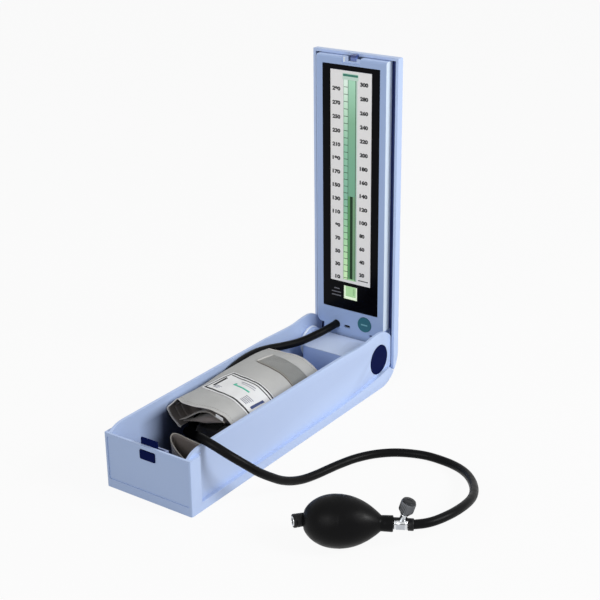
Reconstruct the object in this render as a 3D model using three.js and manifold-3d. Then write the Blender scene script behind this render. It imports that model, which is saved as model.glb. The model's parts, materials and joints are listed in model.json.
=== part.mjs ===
// Desk blood pressure monitor without mercury, standing open: a long case whose lid carries
// a tall LCD scale, with the arm cuff stowed in the tray and the bulb lying beside it.
// Millimetres. +Z is up, +X is the case's right side, the lid's hinge is at the +Y end.
// The origin is the centre of the case's footprint, on the surface it stands on.
import * as THREE from "three";
import { mergeVertices } from "three/addons/utils/BufferGeometryUtils.js";
import Module from "manifold-3d";

const wasm = await Module();
wasm.setup();

// Clearances
const seatGap = 0.3;
const wallTopGap = 1;

// Case and lid, overall
const caseWidth = 104;
const lidLength = 324;
const hingeHeight = 33;
const caseLength = lidLength + hingeHeight;
const hingeY = lidLength - caseLength / 2;

// Lid
const lidShellDepth = 9;
const lidSkin = 2;
const lidWall = 3;
const lidTopWall = 3;
const grooveWidth = 6;
const bodyProud = 7.8;
const bodyFaceThickness = 2.6;
const bodyWall = 2;
const bodyLowEdge = 8.5;
const bodyStepHeight = 20;
const bodyCornerRadius = 6;
const seamAngle = -40;
const seamHalfGap = 1;
const shellEdge = hingeHeight - lidShellDepth;
const bodyFace = shellEdge - bodyProud;
const bodyHalf = caseWidth / 2 - lidWall - grooveWidth;
const shellInner = hingeHeight - lidSkin;
const bodyBack = shellInner - seatGap;
const bodyTop = lidLength - lidTopWall - 0.6;

// Tail panel that closes the back when the lid is down
const tailThickness = 2.3;
const tailStartAngle = -8;
const tailEndAngle = -129;

// Base
const wallInset = 4;
const wallThickness = 3;
const floorThickness = 2;
const skirtHeight = 9;
const endWallThickness = 3;
const postLength = 15;
const postFillet = 7;
const rampLength = 22;
const endPanelInset = 0.8;
const endPanelRim = 3.5;
const outerEdgeRadius = 2;
const skirtGrooveWidth = 3.4;
const skirtGrooveHeight = 6.5;
const earBackRadius = 27.5;
const earDip = 1.7;
const wallHalf = caseWidth / 2 - wallInset;
const trayHalf = wallHalf - wallThickness;
const wallTop = shellInner - wallTopGap;
const earRadius = shellInner - seatGap;

// Hinge
const bossRadius = 16.5;
const bossDepth = 9.5;
const armGap = 1;
const armThickness = 3.5;
const armRadius = 7.5;
const hingePinRadius = 4;
const capRadius = 16.5;
const capThickness = 1.4;
const capProud = 0.5;
const bossInner = trayHalf - bossDepth;
const armOuter = bossInner - armGap;
const armInner = armOuter - armThickness;

// Deck that bridges the far end of the tray
const deckHalf = armInner - 2;
const deckTop = 10.5;
const deckFrontY = -33;
const deckRearY = 12;
const deckWall = 2;
const deckCheekDrop = 20;
const deckPostRadius = 3.5;
const deckPostX = deckHalf - 9;
const deckPostY = -27.8;

// Screws
const screwHeadRadius = 2.9;
const screwHeadHeight = 1;
const screwRadius = 1.5;
const screwLength = 9;
const screwPostRadius = 3.5;
const lidScrewX = bodyHalf - 6;
const lidScrewLow = 33;
const lidScrewHigh = lidLength - 12;

// Latch
const latchX = 1;
const latchPadWidth = 18;
const latchPadHeight = 9.4;
const latchPadLow = 10;
const latchPadProud = 0.4;
const latchPlateWidth = 19.5;
const latchPlateThickness = 2;
const latchPlateLow = 8;
const latchPlateTop = 30.3;
const latchGuideWall = 1.8;
const latchGuideDepth = 13.8;
const latchGuideHeight = 13;
const latchSpringRadius = 2.6;
const latchSpringWire = 0.35;
const latchSpringTurns = 5;
const catchWidth = 6.1;
const catchX = 2.1;
const catchReach = 3.7;
const catchDepth = 4;
const recessWidth = 22.4;
const recessHeight = 6.2;

// Display
const panelSideMargin = 7.9;
const panelWidth = 2 * (bodyHalf - panelSideMargin);
const panelLow = 40.9;
const panelTopMargin = 12.2;
const panelHeight = lidLength - panelTopMargin - panelLow;
const panelThickness = 0.8;
const plateSideMargin = 9.7;
const plateWidth = panelWidth - 2 * plateSideMargin;
const plateLow = 73.1;
const plateTopMargin = 5.3;
const plateHeight = panelLow + panelHeight - plateTopMargin - plateLow;
const columnLeft = -plateWidth * 0.183;
const columnRight = plateWidth * 0.1575;
const columnLow = 76;
const columnTopMargin = 6.5;
const columnHigh = plateLow + plateHeight - columnTopMargin;
const readoutWidth = plateWidth * 0.3425;
const readoutLow = 53.5;
const readoutHeight = 15.5;
const glassBorder = 0.6;
const glassThickness = 1.6;
const backlightThickness = 2;
const pocketDepth = 1.2;

// Controls and sockets on the lid's lower face
const buttonSideGap = 12.1;
const buttonX = armInner - buttonSideGap;
const buttonZ = 28.2;
const buttonRadius = 8.5;
const buttonProud = 0.8;
const buttonTravel = 1;
const buttonFlange = 1.3;
const buttonStemRadius = 2.5;
const switchSize = 6;
const switchDepth = 3.6;
const inletX = -17.9;
const inletZ = 21.2;
const nippleRadius = 2.4;
const nippleFlangeRadius = 6.5;
const nippleFlangeThickness = 1.6;
const socketX = -3.9;
const socketZ = 20.8;
const socketWidth = 7.6;
const socketHeight = 3.2;
const ledSideGap = 3.8;
const ledX = armInner - ledSideGap;
const ledZ = 16.4;
const ledWidth = 4.4;
const ledHeight = 2.2;

// Electronics behind the display
const boardLeft = -(bodyHalf - bodyWall - 3);
const boardWidth = 26;
const boardLow = 50;
const boardLength = 150;
const boardThickness = 1.6;
const boardY = 24;
const boardPostRadius = 2.2;
const sensorX = boardLeft + boardWidth / 2;
const sensorLow = 56;
const sensorSize = 10;
const sensorDepth = 4.5;
const sensorTubeRadius = 1.8;
const keyBoardWidth = 22;
const keyBoardHeight = 20;

// Battery compartment
const cellRadius = 5.1;
const cellLength = 43.6;
const cellNubRadius = 1.9;
const cellNubHeight = 1;
const cellPitch = 12;
const cellMiddleX = bodyHalf - 17;
const cellLow = 105;
const boxWall = 1.2;
const contactThickness = 0.5;
const contactConeHeight = 1.8;
const doorThickness = 1.8;
const doorGripRadius = 4;

// Hose and bulb
const hoseRadius = 4.2;
const bulbRadius = 23.65;
const bulbLength = 66;
const bulbWidestAt = 29;
const bulbWall = 2.4;
const neckLength = 12.6;
const neckRadius = 7;
const tailMouthRadius = 6.1;
const bulbBore = 4.3;
const inletPlugLength = 9.2;
const inletPlugRadius = 6.2;
const valveRadius = 4.9;
const valveLength = 12.2;
const valveBossRadius = 3.3;
const valveBossHeight = 10.8;
const valveTilt = 17;
const knobRadius = 6.8;
const knobFootRadius = 4.3;
const knobTaper = 3.4;
const knobLength = 13.6;
const knobKnurls = 20;
const knobKnurlDepth = 0.35;
const stemRadius = 1.9;
const bulbTailX = 158.9;
const bulbTailY = -301;
const bulbHeading = 29.1;

// Cuff
const cuffSkew = 5;
const wrapLeft = -(trayHalf - 3.5);
const wrapRight = trayHalf - 2;
const wrapLow = 27;
const wrapNear = -262;
const wrapFar = -80;
const wrapCrown = 3.6;
const wrapDroop = 15;
const wrapEndHeight = 15;
const wrapEndRise = 6;
const wrapLongRise = 3.5;
const wrapMouthX = 0;
const wrapMouthY = -237;
const mouthDepth = 26;
const foldThickness = 2.6;
const bundleTop = wrapLow - seatGap;
const bundleNear = -227;
const bundleFar = -82;
const bundleNotchY = -222;
const wrapNotchY = -197;
const hoseChannel = 9.7;
const channelX = -(trayHalf - hoseChannel);
const softGap = 0.6;
const tailTop = 20.5;
const tailSideGap = 2.5;
const tailNearGap = 6;
const tailDepth = 33;
const tailLeft = -3;

const degrees = Math.PI / 180;

// Turning three.js geometry into solids and back

function solid(geometry) {
  const bare = new THREE.BufferGeometry();
  bare.setAttribute("position", geometry.attributes.position.clone());
  if (geometry.index) bare.setIndex(geometry.index.clone());
  const merged = mergeVertices(bare, 1e-4);
  const corners = [];
  for (let i = 0; i < merged.index.count; i += 3) {
    const [a, b, c] = [0, 1, 2].map((k) => merged.index.getX(i + k));
    if (a !== b && b !== c && c !== a) corners.push(a, b, c);
  }
  const vertProperties = new Float32Array(merged.attributes.position.array);
  const build = (list) => new wasm.Manifold(
    new wasm.Mesh({ numProp: 3, vertProperties, triVerts: new Uint32Array(list) }));
  const shape = build(corners);
  return shape.volume() < 0 ? build(corners.reverse()) : shape;
}

function geometryOf(shape) {
  const { vertProperties, triVerts } = shape.getMesh();
  const geometry = new THREE.BufferGeometry();
  geometry.setAttribute("position", new THREE.BufferAttribute(vertProperties, 3));
  geometry.setIndex(new THREE.BufferAttribute(triVerts, 1));
  geometry.computeVertexNormals();
  return geometry;
}

function join(...shapes) {
  return shapes.reduce((sum, shape) => sum.add(shape));
}

function cut(shape, ...tools) {
  return tools.reduce((rest, tool) => rest.subtract(tool), shape);
}

function placed(geometry, matrix) {
  return solid(geometry.applyMatrix4(matrix));
}

// A shape drawn in (y, z), extruded from x0 to x1
function alongX(shape, x0, x1, curveSegments = 6) {
  const geometry = new THREE.ExtrudeGeometry(shape, {
    depth: x1 - x0, bevelEnabled: false, curveSegments,
  });
  const basis = new THREE.Matrix4().makeBasis(
    new THREE.Vector3(0, 1, 0), new THREE.Vector3(0, 0, 1), new THREE.Vector3(1, 0, 0));
  return placed(geometry, basis.setPosition(x0, 0, 0));
}

// A shape drawn in (x, z), extruded from y0 to y1
function alongY(shape, y0, y1, curveSegments = 3) {
  const geometry = new THREE.ExtrudeGeometry(shape, {
    depth: y1 - y0, bevelEnabled: false, curveSegments,
  });
  const basis = new THREE.Matrix4().makeBasis(
    new THREE.Vector3(1, 0, 0), new THREE.Vector3(0, 0, 1), new THREE.Vector3(0, -1, 0));
  return placed(geometry, basis.setPosition(0, y1, 0));
}

// A shape drawn in (x, y), extruded from z0 to z1
function alongZ(shape, z0, z1, curveSegments = 4) {
  const geometry = new THREE.ExtrudeGeometry(shape, {
    depth: z1 - z0, bevelEnabled: false, curveSegments,
  });
  return placed(geometry, new THREE.Matrix4().makeTranslation(0, 0, z0));
}

function box(x0, x1, y0, y1, z0, z1) {
  const geometry = new THREE.BoxGeometry(x1 - x0, y1 - y0, z1 - z0);
  return solid(geometry.translate((x0 + x1) / 2, (y0 + y1) / 2, (z0 + z1) / 2));
}

function roundedRectangle(u0, u1, v0, v1, radius) {
  const shape = new THREE.Shape();
  shape.moveTo(u0 + radius, v0);
  shape.lineTo(u1 - radius, v0);
  shape.absarc(u1 - radius, v0 + radius, radius, -90 * degrees, 0, false);
  shape.lineTo(u1, v1 - radius);
  shape.absarc(u1 - radius, v1 - radius, radius, 0, 90 * degrees, false);
  shape.lineTo(u0 + radius, v1);
  shape.absarc(u0 + radius, v1 - radius, radius, 90 * degrees, 180 * degrees, false);
  shape.lineTo(u0, v0 + radius);
  shape.absarc(u0 + radius, v0 + radius, radius, 180 * degrees, 270 * degrees, false);
  return shape;
}

function circle(u, v, radius) {
  const shape = new THREE.Shape();
  shape.absarc(u, v, radius, 0, 360 * degrees, false);
  return shape;
}

function rodX(radius, x0, x1, y, z, segments = 24) {
  return alongX(circle(y, z, radius), x0, x1, segments / 2);
}

function rodY(radius, y0, y1, x, z, segments = 20) {
  return alongY(circle(x, z, radius), y0, y1, segments / 2);
}

function rodZ(radius, z0, z1, x, y, segments = 16) {
  return alongZ(circle(x, y, radius), z0, z1, segments / 2);
}

function mirrored(shape) {
  return shape.mirror([1, 0, 0]);
}

function polar(radius, angle) {
  return [radius * Math.cos(angle * degrees), radius * Math.sin(angle * degrees)];
}

// A tube of round section along a smooth curve through the points
function tube(points, radius, sides, steps) {
  const path = new THREE.CatmullRomCurve3(points.map((p) => new THREE.Vector3(...p)));
  const section = new THREE.Shape();
  for (let i = 0; i < sides; i += 1) {
    const [u, v] = polar(radius, (360 * i) / sides);
    if (i === 0) section.moveTo(u, v);
    else section.lineTo(u, v);
  }
  section.closePath();
  const geometry = new THREE.ExtrudeGeometry(section, {
    steps, extrudePath: path, bevelEnabled: false,
  });
  return solid(geometry);
}

// A body through rings of points, closed by a flat fan at each end
function loft(rings) {
  const count = rings[0].length;
  const corners = [];
  const indices = [];
  for (const ring of rings) for (const p of ring) corners.push(...p);
  for (let r = 0; r + 1 < rings.length; r += 1) {
    for (let i = 0; i < count; i += 1) {
      const a = r * count + i;
      const b = r * count + ((i + 1) % count);
      indices.push(a, b, b + count, a, b + count, a + count);
    }
  }
  const last = (rings.length - 1) * count;
  for (let i = 1; i + 1 < count; i += 1) {
    indices.push(0, i + 1, i);
    indices.push(last, last + i, last + i + 1);
  }
  const geometry = new THREE.BufferGeometry();
  geometry.setAttribute("position", new THREE.Float32BufferAttribute(corners, 3));
  geometry.setIndex(indices);
  return solid(geometry);
}

// Materials

function finish(color, roughness, metalness = 0) {
  return new THREE.MeshStandardMaterial({ color, roughness, metalness });
}

const caseBlue = finish(0xb9cdf2, 0.45);
const innerBlue = finish(0xa9bde6, 0.5);
const navy = finish(0x0b1538, 0.4);
const black = finish(0x08080c, 0.15);
const plateWhite = finish(0xdedfe2, 0.5);
const screenGreen = finish(0xb4e6c0, 0.2);
const lightGuide = finish(0xf2f4ee, 0.3);
const boardGreen = finish(0x1f6b3c, 0.6);
const darkPlastic = finish(0x1b1c20, 0.5);
const teal = finish(0x2c6f7c, 0.4);
const steel = finish(0xb8bcc2, 0.3, 1);
const chrome = finish(0xdfe2e6, 0.12, 1);
const rubber = finish(0x141414, 0.5);
const cuffGrey = finish(0xb3b2ad, 0.9);
const cuffDark = finish(0x6a6866, 0.95);
const cellGold = finish(0xc8a24a, 0.35, 0.6);

const device = new THREE.Group();
const base = new THREE.Group();
const lid = new THREE.Group();
base.position.set(0, hingeY, hingeHeight);
lid.position.set(0, hingeY, hingeHeight);
device.add(base, lid);

function add(parent, name, shape, material) {
  const mesh = new THREE.Mesh(geometryOf(shape), material);
  mesh.name = name;
  parent.add(mesh);
  return mesh;
}

// Both groups have their origin on the hinge axis, so z = -hingeHeight is the table.
const table = -hingeHeight;
const frontEnd = -lidLength;
const floorTop = table + floorThickness;
const skirtTop = table + skirtHeight;

// Base: outline of the inset side walls with the ear that holds the hinge
function wallOutline() {
  const shape = new THREE.Shape();
  const seam = seamAngle - seamHalfGap;
  shape.moveTo(frontEnd, table);
  shape.lineTo(0, table);
  shape.absarc(0, 0, hingeHeight, -90 * degrees, seam * degrees, false);
  shape.lineTo(...polar(earBackRadius, seam));
  shape.absarc(0, 0, earBackRadius, seam * degrees, 10 * degrees, false);
  shape.lineTo(...polar(earRadius, 25));
  shape.absarc(0, 0, earRadius, 25 * degrees, 94 * degrees, false);
  shape.bezierCurveTo(-14, earRadius, -20, wallTop - earDip, -32, wallTop - earDip);
  shape.bezierCurveTo(-50, wallTop - earDip, -65, wallTop, -90, wallTop);
  shape.lineTo(frontEnd + rampLength, wallTop);
  shape.quadraticCurveTo(
    frontEnd + rampLength * 0.45, wallTop, frontEnd + endWallThickness, shellEdge);
  shape.lineTo(frontEnd, shellEdge);
  return shape;
}

function trayOutline() {
  const inner = hingeHeight - floorThickness;
  const clear = 2 * hingeHeight;
  const shape = new THREE.Shape();
  shape.moveTo(frontEnd + endWallThickness, floorTop);
  shape.lineTo(0, floorTop);
  shape.absarc(0, 0, inner, -90 * degrees, (seamAngle + 2) * degrees, false);
  shape.lineTo(clear, inner * Math.sin(seamAngle * degrees));
  shape.lineTo(clear, clear);
  shape.lineTo(frontEnd + endWallThickness, clear);
  return shape;
}

// Base: the skirt rises round the hinge and ends at the seam with the lid's shell
function skirtOutline() {
  const shape = new THREE.Shape();
  const seam = seamAngle - seamHalfGap;
  const inner = 0.65 * hingeHeight;
  shape.moveTo(frontEnd, table);
  shape.lineTo(0, table);
  shape.absarc(0, 0, hingeHeight, -90 * degrees, seam * degrees, false);
  shape.lineTo(...polar(inner, seam));
  shape.quadraticCurveTo(-25, skirtTop, -150, skirtTop);
  shape.lineTo(frontEnd, skirtTop);
  return shape;
}

// Base: end wall with its two flush corner posts, seen from above
function endPlan() {
  const half = caseWidth / 2;
  const postEnd = frontEnd + postLength;
  const shape = new THREE.Shape();
  const r = outerEdgeRadius;
  shape.moveTo(-half + r, frontEnd);
  shape.lineTo(half - r, frontEnd);
  shape.absarc(half - r, frontEnd + r, r, -90 * degrees, 0, false);
  shape.lineTo(half, postEnd);
  shape.quadraticCurveTo(wallHalf + 0.5, postEnd, wallHalf, postEnd + postFillet);
  shape.lineTo(trayHalf, postEnd + postFillet);
  shape.lineTo(trayHalf, frontEnd + endWallThickness);
  shape.lineTo(-trayHalf, frontEnd + endWallThickness);
  shape.lineTo(-trayHalf, postEnd + postFillet);
  shape.lineTo(-wallHalf, postEnd + postFillet);
  shape.quadraticCurveTo(-wallHalf - 0.5, postEnd, -half, postEnd);
  shape.lineTo(-half, frontEnd + r);
  shape.absarc(-half + r, frontEnd + r, r, 180 * degrees, 270 * degrees, false);
  return shape;
}

function makeBaseCase() {
  const half = caseWidth / 2;
  const skirt = alongX(skirtOutline(), trayHalf, half);
  const boss = rodX(bossRadius, bossInner, trayHalf + 0.5, 0, 0, 36);
  const padTop = floorTop + 3;
  const pads = [-deckPostX, deckPostX].map((x) => rodZ(5, table, padTop, x, deckPostY));
  const walls = cut(
    alongX(wallOutline(), -wallHalf, wallHalf),
    alongX(trayOutline(), -trayHalf, trayHalf),
  );
  const curvedBack = cut(
    alongX(skirtOutline(), -half, half),
    alongX(trayOutline(), -half - 1, half + 1),
  );
  const corner = outerEdgeRadius;
  const frontTrim = cut(
    box(-half - 1, half + 1, frontEnd - 1, frontEnd + corner, table - 1, skirtTop + 1),
    alongZ(endPlan(), table - 2, skirtTop + 2),
  );
  const body = cut(
    join(walls, curvedBack, skirt, mirrored(skirt), boss, mirrored(boss), ...pads),
    frontTrim,
  );
  const end = alongZ(endPlan(), table, shellEdge);

  const capSeat = rodX(
    capRadius + seatGap, wallHalf - capThickness + capProud - seatGap, half, 0, 0, 36);
  const pinHole = rodX(hingePinRadius + seatGap, bossInner - 1, half, 0, 0, 24);
  const panel = box(
    -half + endPanelRim, half - endPanelRim, frontEnd - 1, frontEnd + endPanelInset,
    skirtTop, shellEdge - endPanelRim,
  );
  const window = alongY(
    roundedRectangle(
      latchX - latchPadWidth / 2 - seatGap, latchX + latchPadWidth / 2 + seatGap,
      latchPadLow - seatGap, latchPadLow + latchPadHeight + seatGap, 1.5,
    ),
    frontEnd - 1, frontEnd + endWallThickness + 1,
  );
  const grooveOuter = half - 1.8;
  const groove = box(
    grooveOuter - skirtGrooveWidth, grooveOuter, frontEnd + 6, -12,
    table - 1, table + skirtGrooveHeight,
  );
  const screwHoles = [-deckPostX, deckPostX].flatMap((x) => [
    rodZ(screwHeadRadius + seatGap, table - 1, table + screwHeadHeight + 1, x, deckPostY),
    rodZ(screwRadius + seatGap, table, padTop + 1, x, deckPostY),
  ]);
  return cut(
    join(body, end),
    capSeat, mirrored(capSeat), pinHole, mirrored(pinHole),
    panel, window, groove, mirrored(groove), ...screwHoles,
  );
}

// Base: deck cover, a bridge with a front bulkhead and two posts for its screws
function makeDeck() {
  const under = deckTop - deckWall;
  const low = floorTop + seatGap;
  const padTop = floorTop + 3;
  const top = box(-deckHalf, deckHalf, deckFrontY, deckRearY, under, deckTop);
  const bulkhead = box(-deckHalf, deckHalf, deckFrontY, deckFrontY + deckWall, low, under);
  const cheek = box(
    deckHalf - deckWall, deckHalf, deckFrontY, deckRearY, deckTop - deckCheekDrop, under);
  const posts = [-deckPostX, deckPostX].map((x) =>
    rodZ(deckPostRadius, padTop + seatGap, under, x, deckPostY));
  const padNotches = [-deckPostX, deckPostX].map((x) =>
    rodZ(5 + seatGap, table, padTop + seatGap, x, deckPostY));
  const holes = [-deckPostX, deckPostX].map((x) =>
    rodZ(screwRadius + seatGap, table, padTop + screwLength, x, deckPostY));
  return cut(
    join(top, bulkhead, cheek, mirrored(cheek), ...posts), ...padNotches, ...holes);
}

// A pan-head screw whose head rests at z = 0 and whose shank points to +z
function screwSolid() {
  const r = screwHeadRadius;
  const profile = [
    [0, -screwHeadHeight], [r * 0.7, -screwHeadHeight], [r, -screwHeadHeight * 0.5], [r, 0],
    [screwRadius, 0], [screwRadius, screwLength - 1], [0.5, screwLength], [0, screwLength],
  ].map(([u, v]) => new THREE.Vector2(u, v));
  const body = placed(new THREE.LatheGeometry(profile, 14), new THREE.Matrix4().makeRotationX(90 * degrees));
  const slotHalf = 0.35;
  const slotLength = r * 0.62;
  const top = -screwHeadHeight;
  return cut(
    body,
    box(-slotHalf, slotHalf, -slotLength, slotLength, top - 1, top + 0.5),
    box(-slotLength, slotLength, -slotHalf, slotHalf, top - 1, top + 0.5),
  );
}

function addDeckScrews() {
  [-deckPostX, deckPostX].forEach((x, i) => {
    const screw = add(base, `deck_screw_${i + 1}`, screwSolid(), steel);
    screw.position.set(x, deckPostY, table + screwHeadHeight + 1 - seatGap);
  });
}

// Hinge pins and the round caps that cover them
function addHinge() {
  const pin = rodX(hingePinRadius, armInner - seatGap, capSeatFloor() - seatGap, 0, 0, 20);
  const capOuter = wallHalf + capProud;
  const cap = rodX(capRadius, capOuter - capThickness, capOuter, 0, 0, 40);
  add(base, "hinge_pin_right", pin, steel);
  add(base, "hinge_pin_left", mirrored(pin), steel);
  add(base, "hinge_cap_right", cap, navy);
  add(base, "hinge_cap_left", mirrored(cap), navy);
}

function capSeatFloor() {
  return wallHalf - capThickness + capProud - seatGap;
}

// Latch: a pad in the end wall's window on a plate that stands up behind the wall
function addLatch() {
  const wallInner = frontEnd + endWallThickness;
  const plateFront = wallInner + seatGap;
  const plateBack = plateFront + latchPlateThickness;
  const halfPlate = latchPlateWidth / 2;
  const halfPad = latchPadWidth / 2;
  const pad = alongY(
    roundedRectangle(
      latchX - halfPad, latchX + halfPad, latchPadLow, latchPadLow + latchPadHeight, 1.2),
    frontEnd - latchPadProud, plateFront + 0.5,
  );
  const plate = alongX(
    (() => {
      const shape = new THREE.Shape();
      shape.moveTo(plateFront, latchPlateLow);
      shape.lineTo(plateBack, latchPlateLow);
      shape.lineTo(plateBack, latchPlateTop);
      shape.lineTo(plateFront + 0.8, latchPlateTop);
      shape.lineTo(plateFront, latchPlateTop - 1.6);
      return shape;
    })(),
    latchX - halfPlate, latchX + halfPlate,
  );
  const catchSlot = box(
    catchX - catchWidth / 2 - 1, catchX + catchWidth / 2 + 1, plateFront - 1, plateBack + 1,
    bodyFace + 0.5, bodyFace + catchDepth + 2,
  );
  add(base, "latch_button", cut(join(pad, plate), catchSlot), navy);

  const guideBack = plateFront + latchGuideDepth;
  const guideHalf = halfPlate + seatGap + latchGuideWall;
  const guideTop = latchPadLow + latchPadHeight / 2 + 2;
  const guideLow = guideTop - latchGuideHeight;
  const guide = cut(
    box(latchX - guideHalf, latchX + guideHalf, plateFront, guideBack, guideLow, guideTop),
    box(
      latchX - halfPlate - seatGap, latchX + halfPlate + seatGap,
      plateFront - 1, guideBack - latchGuideWall, guideLow + latchGuideWall, guideTop + 1,
    ),
  );
  add(base, "latch_guide", guide, innerBlue);

  const springStart = plateBack + seatGap;
  const springEnd = guideBack - latchGuideWall - seatGap;
  const springZ = latchPadLow + latchPadHeight / 2;
  add(base, "latch_spring", coil(springStart, springEnd, latchX, springZ - 1), steel);
}

// A compression spring along Y
function coil(y0, y1, x, z) {
  const steps = 8 * latchSpringTurns;
  const span = y1 - y0 - 2 * latchSpringWire;
  const points = [];
  for (let i = 0; i <= steps; i += 1) {
    const turn = (360 * i) / 8;
    const [u, v] = polar(latchSpringRadius, turn);
    points.push([x + u, y0 + latchSpringWire + (span * i) / steps, z + v]);
  }
  return sweep(points, latchSpringWire, 5);
}

// A tube whose rings stand square to a polyline
function sweep(points, radius, sides) {
  const path = points.map((p) => new THREE.Vector3(...p));
  const rings = path.map((point, i) => {
    const before = path[Math.max(i - 1, 0)];
    const after = path[Math.min(i + 1, path.length - 1)];
    const heading = after.clone().sub(before).normalize();
    const side = new THREE.Vector3(0, 1, 0).cross(heading).normalize();
    const up = heading.clone().cross(side);
    return Array.from({ length: sides }, (_, k) => {
      const [u, v] = polar(radius, (360 * k) / sides);
      return point.clone().addScaledVector(side, u).addScaledVector(up, v).toArray();
    });
  });
  return loft(rings);
}

// Lid: rear shell with its rolled lower edge
function makeLidShell() {
  const half = caseWidth / 2;
  const seam = seamAngle + seamHalfGap;
  const edgeAtSeam = shellEdge / Math.cos(seam * degrees);
  const outer = new THREE.Shape();
  outer.moveTo(shellEdge, lidLength);
  outer.lineTo(...polar(edgeAtSeam, seam));
  outer.lineTo(...polar(hingeHeight, seam));
  outer.absarc(0, 0, hingeHeight, seam * degrees, 0, false);
  outer.lineTo(hingeHeight, lidLength - 1.5);
  outer.lineTo(hingeHeight - 1.5, lidLength);
  const inner = new THREE.Shape();
  inner.moveTo(shellEdge - 5, lidLength - lidTopWall);
  inner.lineTo(shellEdge - 5, seam * 0.8);
  inner.lineTo(...polar(shellInner, seam - 4));
  inner.absarc(0, 0, shellInner, (seam - 4) * degrees, 0, false);
  inner.lineTo(shellInner, lidLength - lidTopWall);
  const door = doorBox();
  const doorway = box(
    door.left, door.right, shellInner - 1, hingeHeight + 1, door.low, door.high);
  const holes = lidScrewSpots().flatMap(([x, z]) => [
    rodY(screwHeadRadius + seatGap, hingeHeight - screwHeadHeight, hingeHeight + 1, x, z, 12),
    rodY(screwRadius + seatGap, shellInner - 1, hingeHeight, x, z, 10),
  ]);
  const catchHook = box(
    catchX - catchWidth / 2, catchX + catchWidth / 2,
    bodyFace + 0.8, bodyFace + 0.8 + catchDepth,
    lidLength - lidTopWall - catchReach, lidLength - lidTopWall + 1,
  );
  const catchBridge = box(
    catchX - catchWidth / 2, catchX + catchWidth / 2,
    bodyFace + 0.8, shellEdge + 1, lidLength - lidTopWall, lidLength - 0.8,
  );
  const shell = cut(
    alongX(outer, -half, half, 6),
    alongX(inner, -half + lidWall, half - lidWall, 6),
  );
  return join(cut(shell, doorway, ...holes), catchHook, catchBridge);
}

function lidScrewSpots() {
  return [
    [-lidScrewX, lidScrewLow], [lidScrewX, lidScrewLow],
    [-lidScrewX, lidScrewHigh], [lidScrewX, lidScrewHigh],
  ];
}

function doorBox() {
  const halfWidth = cellPitch / 2 + cellRadius + seatGap;
  return {
    left: cellMiddleX - halfWidth - 1,
    right: cellMiddleX + halfWidth + 1,
    low: cellLow - contactConeHeight - contactThickness - 1,
    high: cellLow + cellLength + cellNubHeight + contactThickness + 1.5,
  };
}

// Lid: front body that carries the display and, at its foot, the two hinge arms
function frontOutline() {
  const shape = new THREE.Shape();
  const foot = armOuter;
  const step = bodyStepHeight;
  const r = bodyCornerRadius;
  shape.moveTo(-foot, bodyLowEdge);
  shape.lineTo(foot, bodyLowEdge);
  shape.lineTo(foot, step);
  shape.lineTo(bodyHalf - r, step);
  shape.absarc(bodyHalf - r, step + r, r, -90 * degrees, 0, false);
  shape.lineTo(bodyHalf, bodyTop);
  shape.lineTo(-bodyHalf, bodyTop);
  shape.lineTo(-bodyHalf, step + r);
  shape.absarc(-bodyHalf + r, step + r, r, 180 * degrees, 270 * degrees, false);
  shape.lineTo(-foot, step);
  return shape;
}

function armOutline() {
  const rear = 0.93 * shellInner - 2;
  const shape = new THREE.Shape();
  shape.moveTo(bodyFace, bodyLowEdge + 2);
  shape.lineTo(...polar(armRadius, 70));
  shape.absarc(0, 0, armRadius, 70 * degrees, 300 * degrees, false);
  shape.lineTo(rear, bodyLowEdge - 3);
  shape.lineTo(rear, bodyLowEdge + 2);
  return shape;
}

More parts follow.
